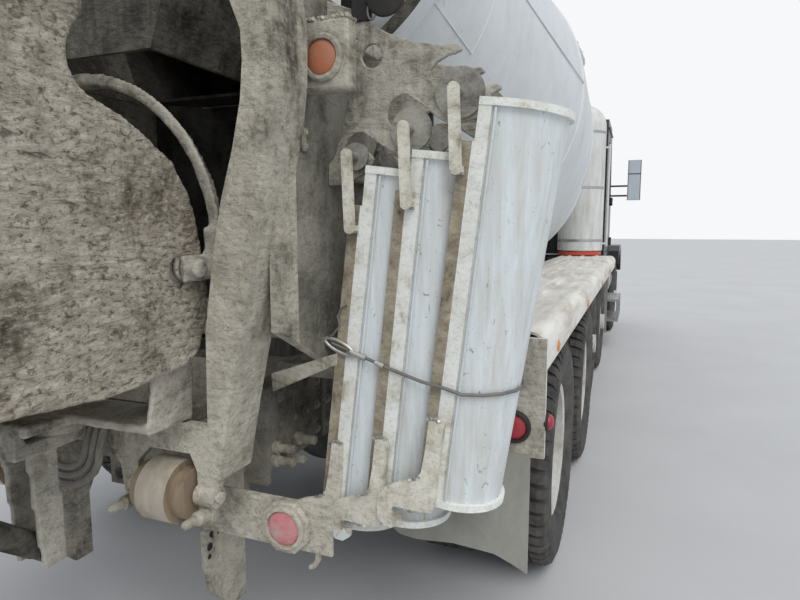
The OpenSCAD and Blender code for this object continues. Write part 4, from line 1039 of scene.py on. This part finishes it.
def lug(mesh, outline, side_y, start, end, skew):
    """Adds a tread block whose cross section is outline, from angle start to end."""
    rows = [wheel_row(mesh, [(a, r, angle + skew * a) for a, r in outline], side_y)
            for angle in (start, end)]
    n = len(outline)
    for k in range(n):
        mesh.faces.new((rows[0][k], rows[0][(k + 1) % n], rows[1][(k + 1) % n], rows[1][k]))
    mesh.faces.new(rows[0][::-1])
    mesh.faces.new(rows[1])


def tyre(mesh, side_y, lugged):
    if not lugged:
        casing(mesh, CASING + RIBBED, side_y)
        return
    casing(mesh, CASING + UNDER_LUGS, side_y)
    pitch = 2 * math.pi / LUG_COUNT
    for k in range(LUG_COUNT):
        for s in (1, -1):
            offset = 0.5 * pitch if s < 0 else 0
            lug(mesh, [(s * a, r) for a, r in SHOULDER_LUG], side_y, k * pitch + offset,
                (k + 0.66) * pitch + offset, 0.0004 * s)
            lug(mesh, [(s * a, r) for a, r in MIDDLE_LUG], side_y, (k + 0.3) * pitch + offset,
                (k + 1.08) * pitch + offset, 0.0006)


def wheel(node, x, tyre_sides, lugged):
    """tyre_sides are the middles of its tyres across the truck."""
    mesh = bmesh.new()
    mesh.from_mesh(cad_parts[node].data)
    centre = place((x, 0, AXLE_Z))
    bmesh.ops.translate(mesh, vec=-centre, verts=mesh.verts)
    middles = [(f, f.calc_center_median()) for f in mesh.faces]
    rubber = [f for f, middle in middles if math.hypot(middle.x, middle.z) > RIM_TOP_M]
    bmesh.ops.delete(mesh, geom=rubber, context="FACES")
    for f in mesh.faces:
        f.material_index = 0
    metal = set(mesh.faces)
    for y in tyre_sides:
        tyre(mesh, y, lugged)
    fresh = [f for f in mesh.faces if f not in metal]
    for f in fresh:
        f.material_index = 1
        f.smooth = True
    bmesh.ops.recalc_face_normals(mesh, faces=fresh)
    data = bpy.data.meshes.new(node + "_treaded")
    mesh.to_mesh(data)
    mesh.free()
    data.materials.append(RIM)
    data.materials.append(RUBBER)
    data.set_sharp_from_angle(angle=math.radians(32))
    made = linked(node + "_treaded", data)
    made.location = centre
    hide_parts(node)
    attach(made, node)


# Camera, light and stage


def camera():
    data = bpy.data.cameras.new("camera")
    data.sensor_width, data.lens = 36, 27.05
    data.clip_start, data.clip_end = 0.05, 200
    made = linked("camera", data)
    made.location = (-5.253, -1.503, 1.522)
    made.rotation_euler = (math.radians(90 - 6.902), 0, math.radians(21.674 - 90))
    bpy.context.scene.camera = made


def floor():
    bpy.ops.mesh.primitive_plane_add(size=160, location=(0, 0, 0))
    made = bpy.context.object
    made.name = "floor"
    s = Shader("floor_grey", Roughness=0.95)
    made.data.materials.append(s.finish(s.ramp(
        s.noise(0.8, detail=4), (0.3, srgb(196, 197, 199)), (0.7, srgb(203, 204, 206)))))


def sky():
    """Soft light all round, seen as a plain pale ground behind the truck."""
    world = bpy.data.worlds.new("studio")
    bpy.context.scene.world = world
    world.use_nodes = True
    nodes, links = world.node_tree.nodes, world.node_tree.links
    light = nodes["Background"]
    light.inputs["Color"].default_value = (0.93, 0.96, 1.0, 1)
    light.inputs["Strength"].default_value = 0.72
    shown = nodes.new("ShaderNodeBackground")
    shown.inputs["Color"].default_value = (0.93, 0.94, 0.95, 1)
    rays = nodes.new("ShaderNodeLightPath")
    seen = nodes.new("ShaderNodeMath")
    seen.operation = "MAXIMUM"
    links.new(rays.outputs["Is Camera Ray"], seen.inputs[0])
    links.new(rays.outputs["Is Transmission Ray"], seen.inputs[1])
    blend = nodes.new("ShaderNodeMixShader")
    links.new(seen.outputs[0], blend.inputs["Fac"])
    links.new(light.outputs[0], blend.inputs[1])
    links.new(shown.outputs[0], blend.inputs[2])
    links.new(blend.outputs[0], nodes["World Output"].inputs["Surface"])


def sun():
    data = bpy.data.lights.new("soft_sun", "SUN")
    data.energy, data.angle, data.color = 1.3, math.radians(35), (1.0, 0.98, 0.95)
    turn = (math.radians(38), math.radians(-18), math.radians(-30))
    linked("soft_sun", data).rotation_euler = turn


# The whole truck

caked("main_chute", "main_chute", 0.0085, 0.0035, 14, CRUST_CHUTE)
caked("chute_swivel", "chute_swivel", 0.008, 0.0020, 18, CRUST_RACK)
caked("chute_rack", "chassis", 0.0045, 0.0005, 22, CRUST_RACK)

recoloured("extension_chutes", "chassis", (CHUTE_PAINT, DUST_AND_SHADE_TAN, HOOK_PALE, DUSTY_WHITE),
           chute_part, strip_cuts())
recoloured("rear_pedestal", "chassis", (CRUST, CRUST_SHADE, CRUST_DEEP_SHADE), pedestal_part,
           [across_at(WING_END_X)])
recoloured("chute_hooks", "chassis", (DISC_STEEL,), hooks_part)
recoloured("fenders", "chassis", (FENDER_PAINT, CRUST_PALE), fender_part)
recoloured("chassis_frame", "chassis", (FRAME_PAINT, CRUST, CRUST_SHADE), frame_part,
           [across_at(TAIL_END_X), across_at(RAIL_DUST_AND_SHADE_X)])
recoloured("drum", "drum", (DRUM_PAINT, CRUST_DARK_SHADE), drum_part)

hopper_walls()
chute_ribs()
chute_welds()
marker_lamps()
marker_crust()
side_markers()
tail_lamps()
stop_lamps()
lamp_clasp()
for roller in ("bumper_roller_left", "bumper_roller_right"):
    recoloured(roller, roller, (ROLLER_TAN, ROLLER_BAND), roller_part)
roller_pins()
clip_plate()
frame_bolts()
frame_stubs()
rack_brace()
bracket_holes()
round_plate()
cable_hook()
cable_tail()
drum_seams()
drum_hatches()
fender_ribs()
fender_reflectors()
front_flap_panels()
tank_bands()
wiper("left", 330)
wiper("right", -560)
roof_lamps()
drip_rails()
step_treads()
fuel_tank_fittings()
recoloured("mirrors", "chassis", (PLASTIC, MIRROR_GLASS), mirror_part)
mirror_trim()
headlamps()
hood_latches()
turn_lamps()
grille_mesh()
bumper_bolts()

HANDS = (("left", 1), ("right", -1))
for end, x in (("front", 1320), ("rear", 0)):
    for hand, s in HANDS:
        wheel(f"drive_wheel_{end}_{hand}", x, (s * 1083, s * 753), lugged=True)
for end, x in (("front", 4050), ("rear", 2700)):
    for hand, s in HANDS:
        wheel(f"pusher_wheel_{end}_{hand}", x, (s * 1020,), lugged=False)
for hand, s in HANDS:
    wheel(f"front_wheel_{hand}", 6700, (s * 1050,), lugged=False)

camera()
floor()
sky()
sun()
bpy.context.scene.view_settings.view_transform = "Standard"
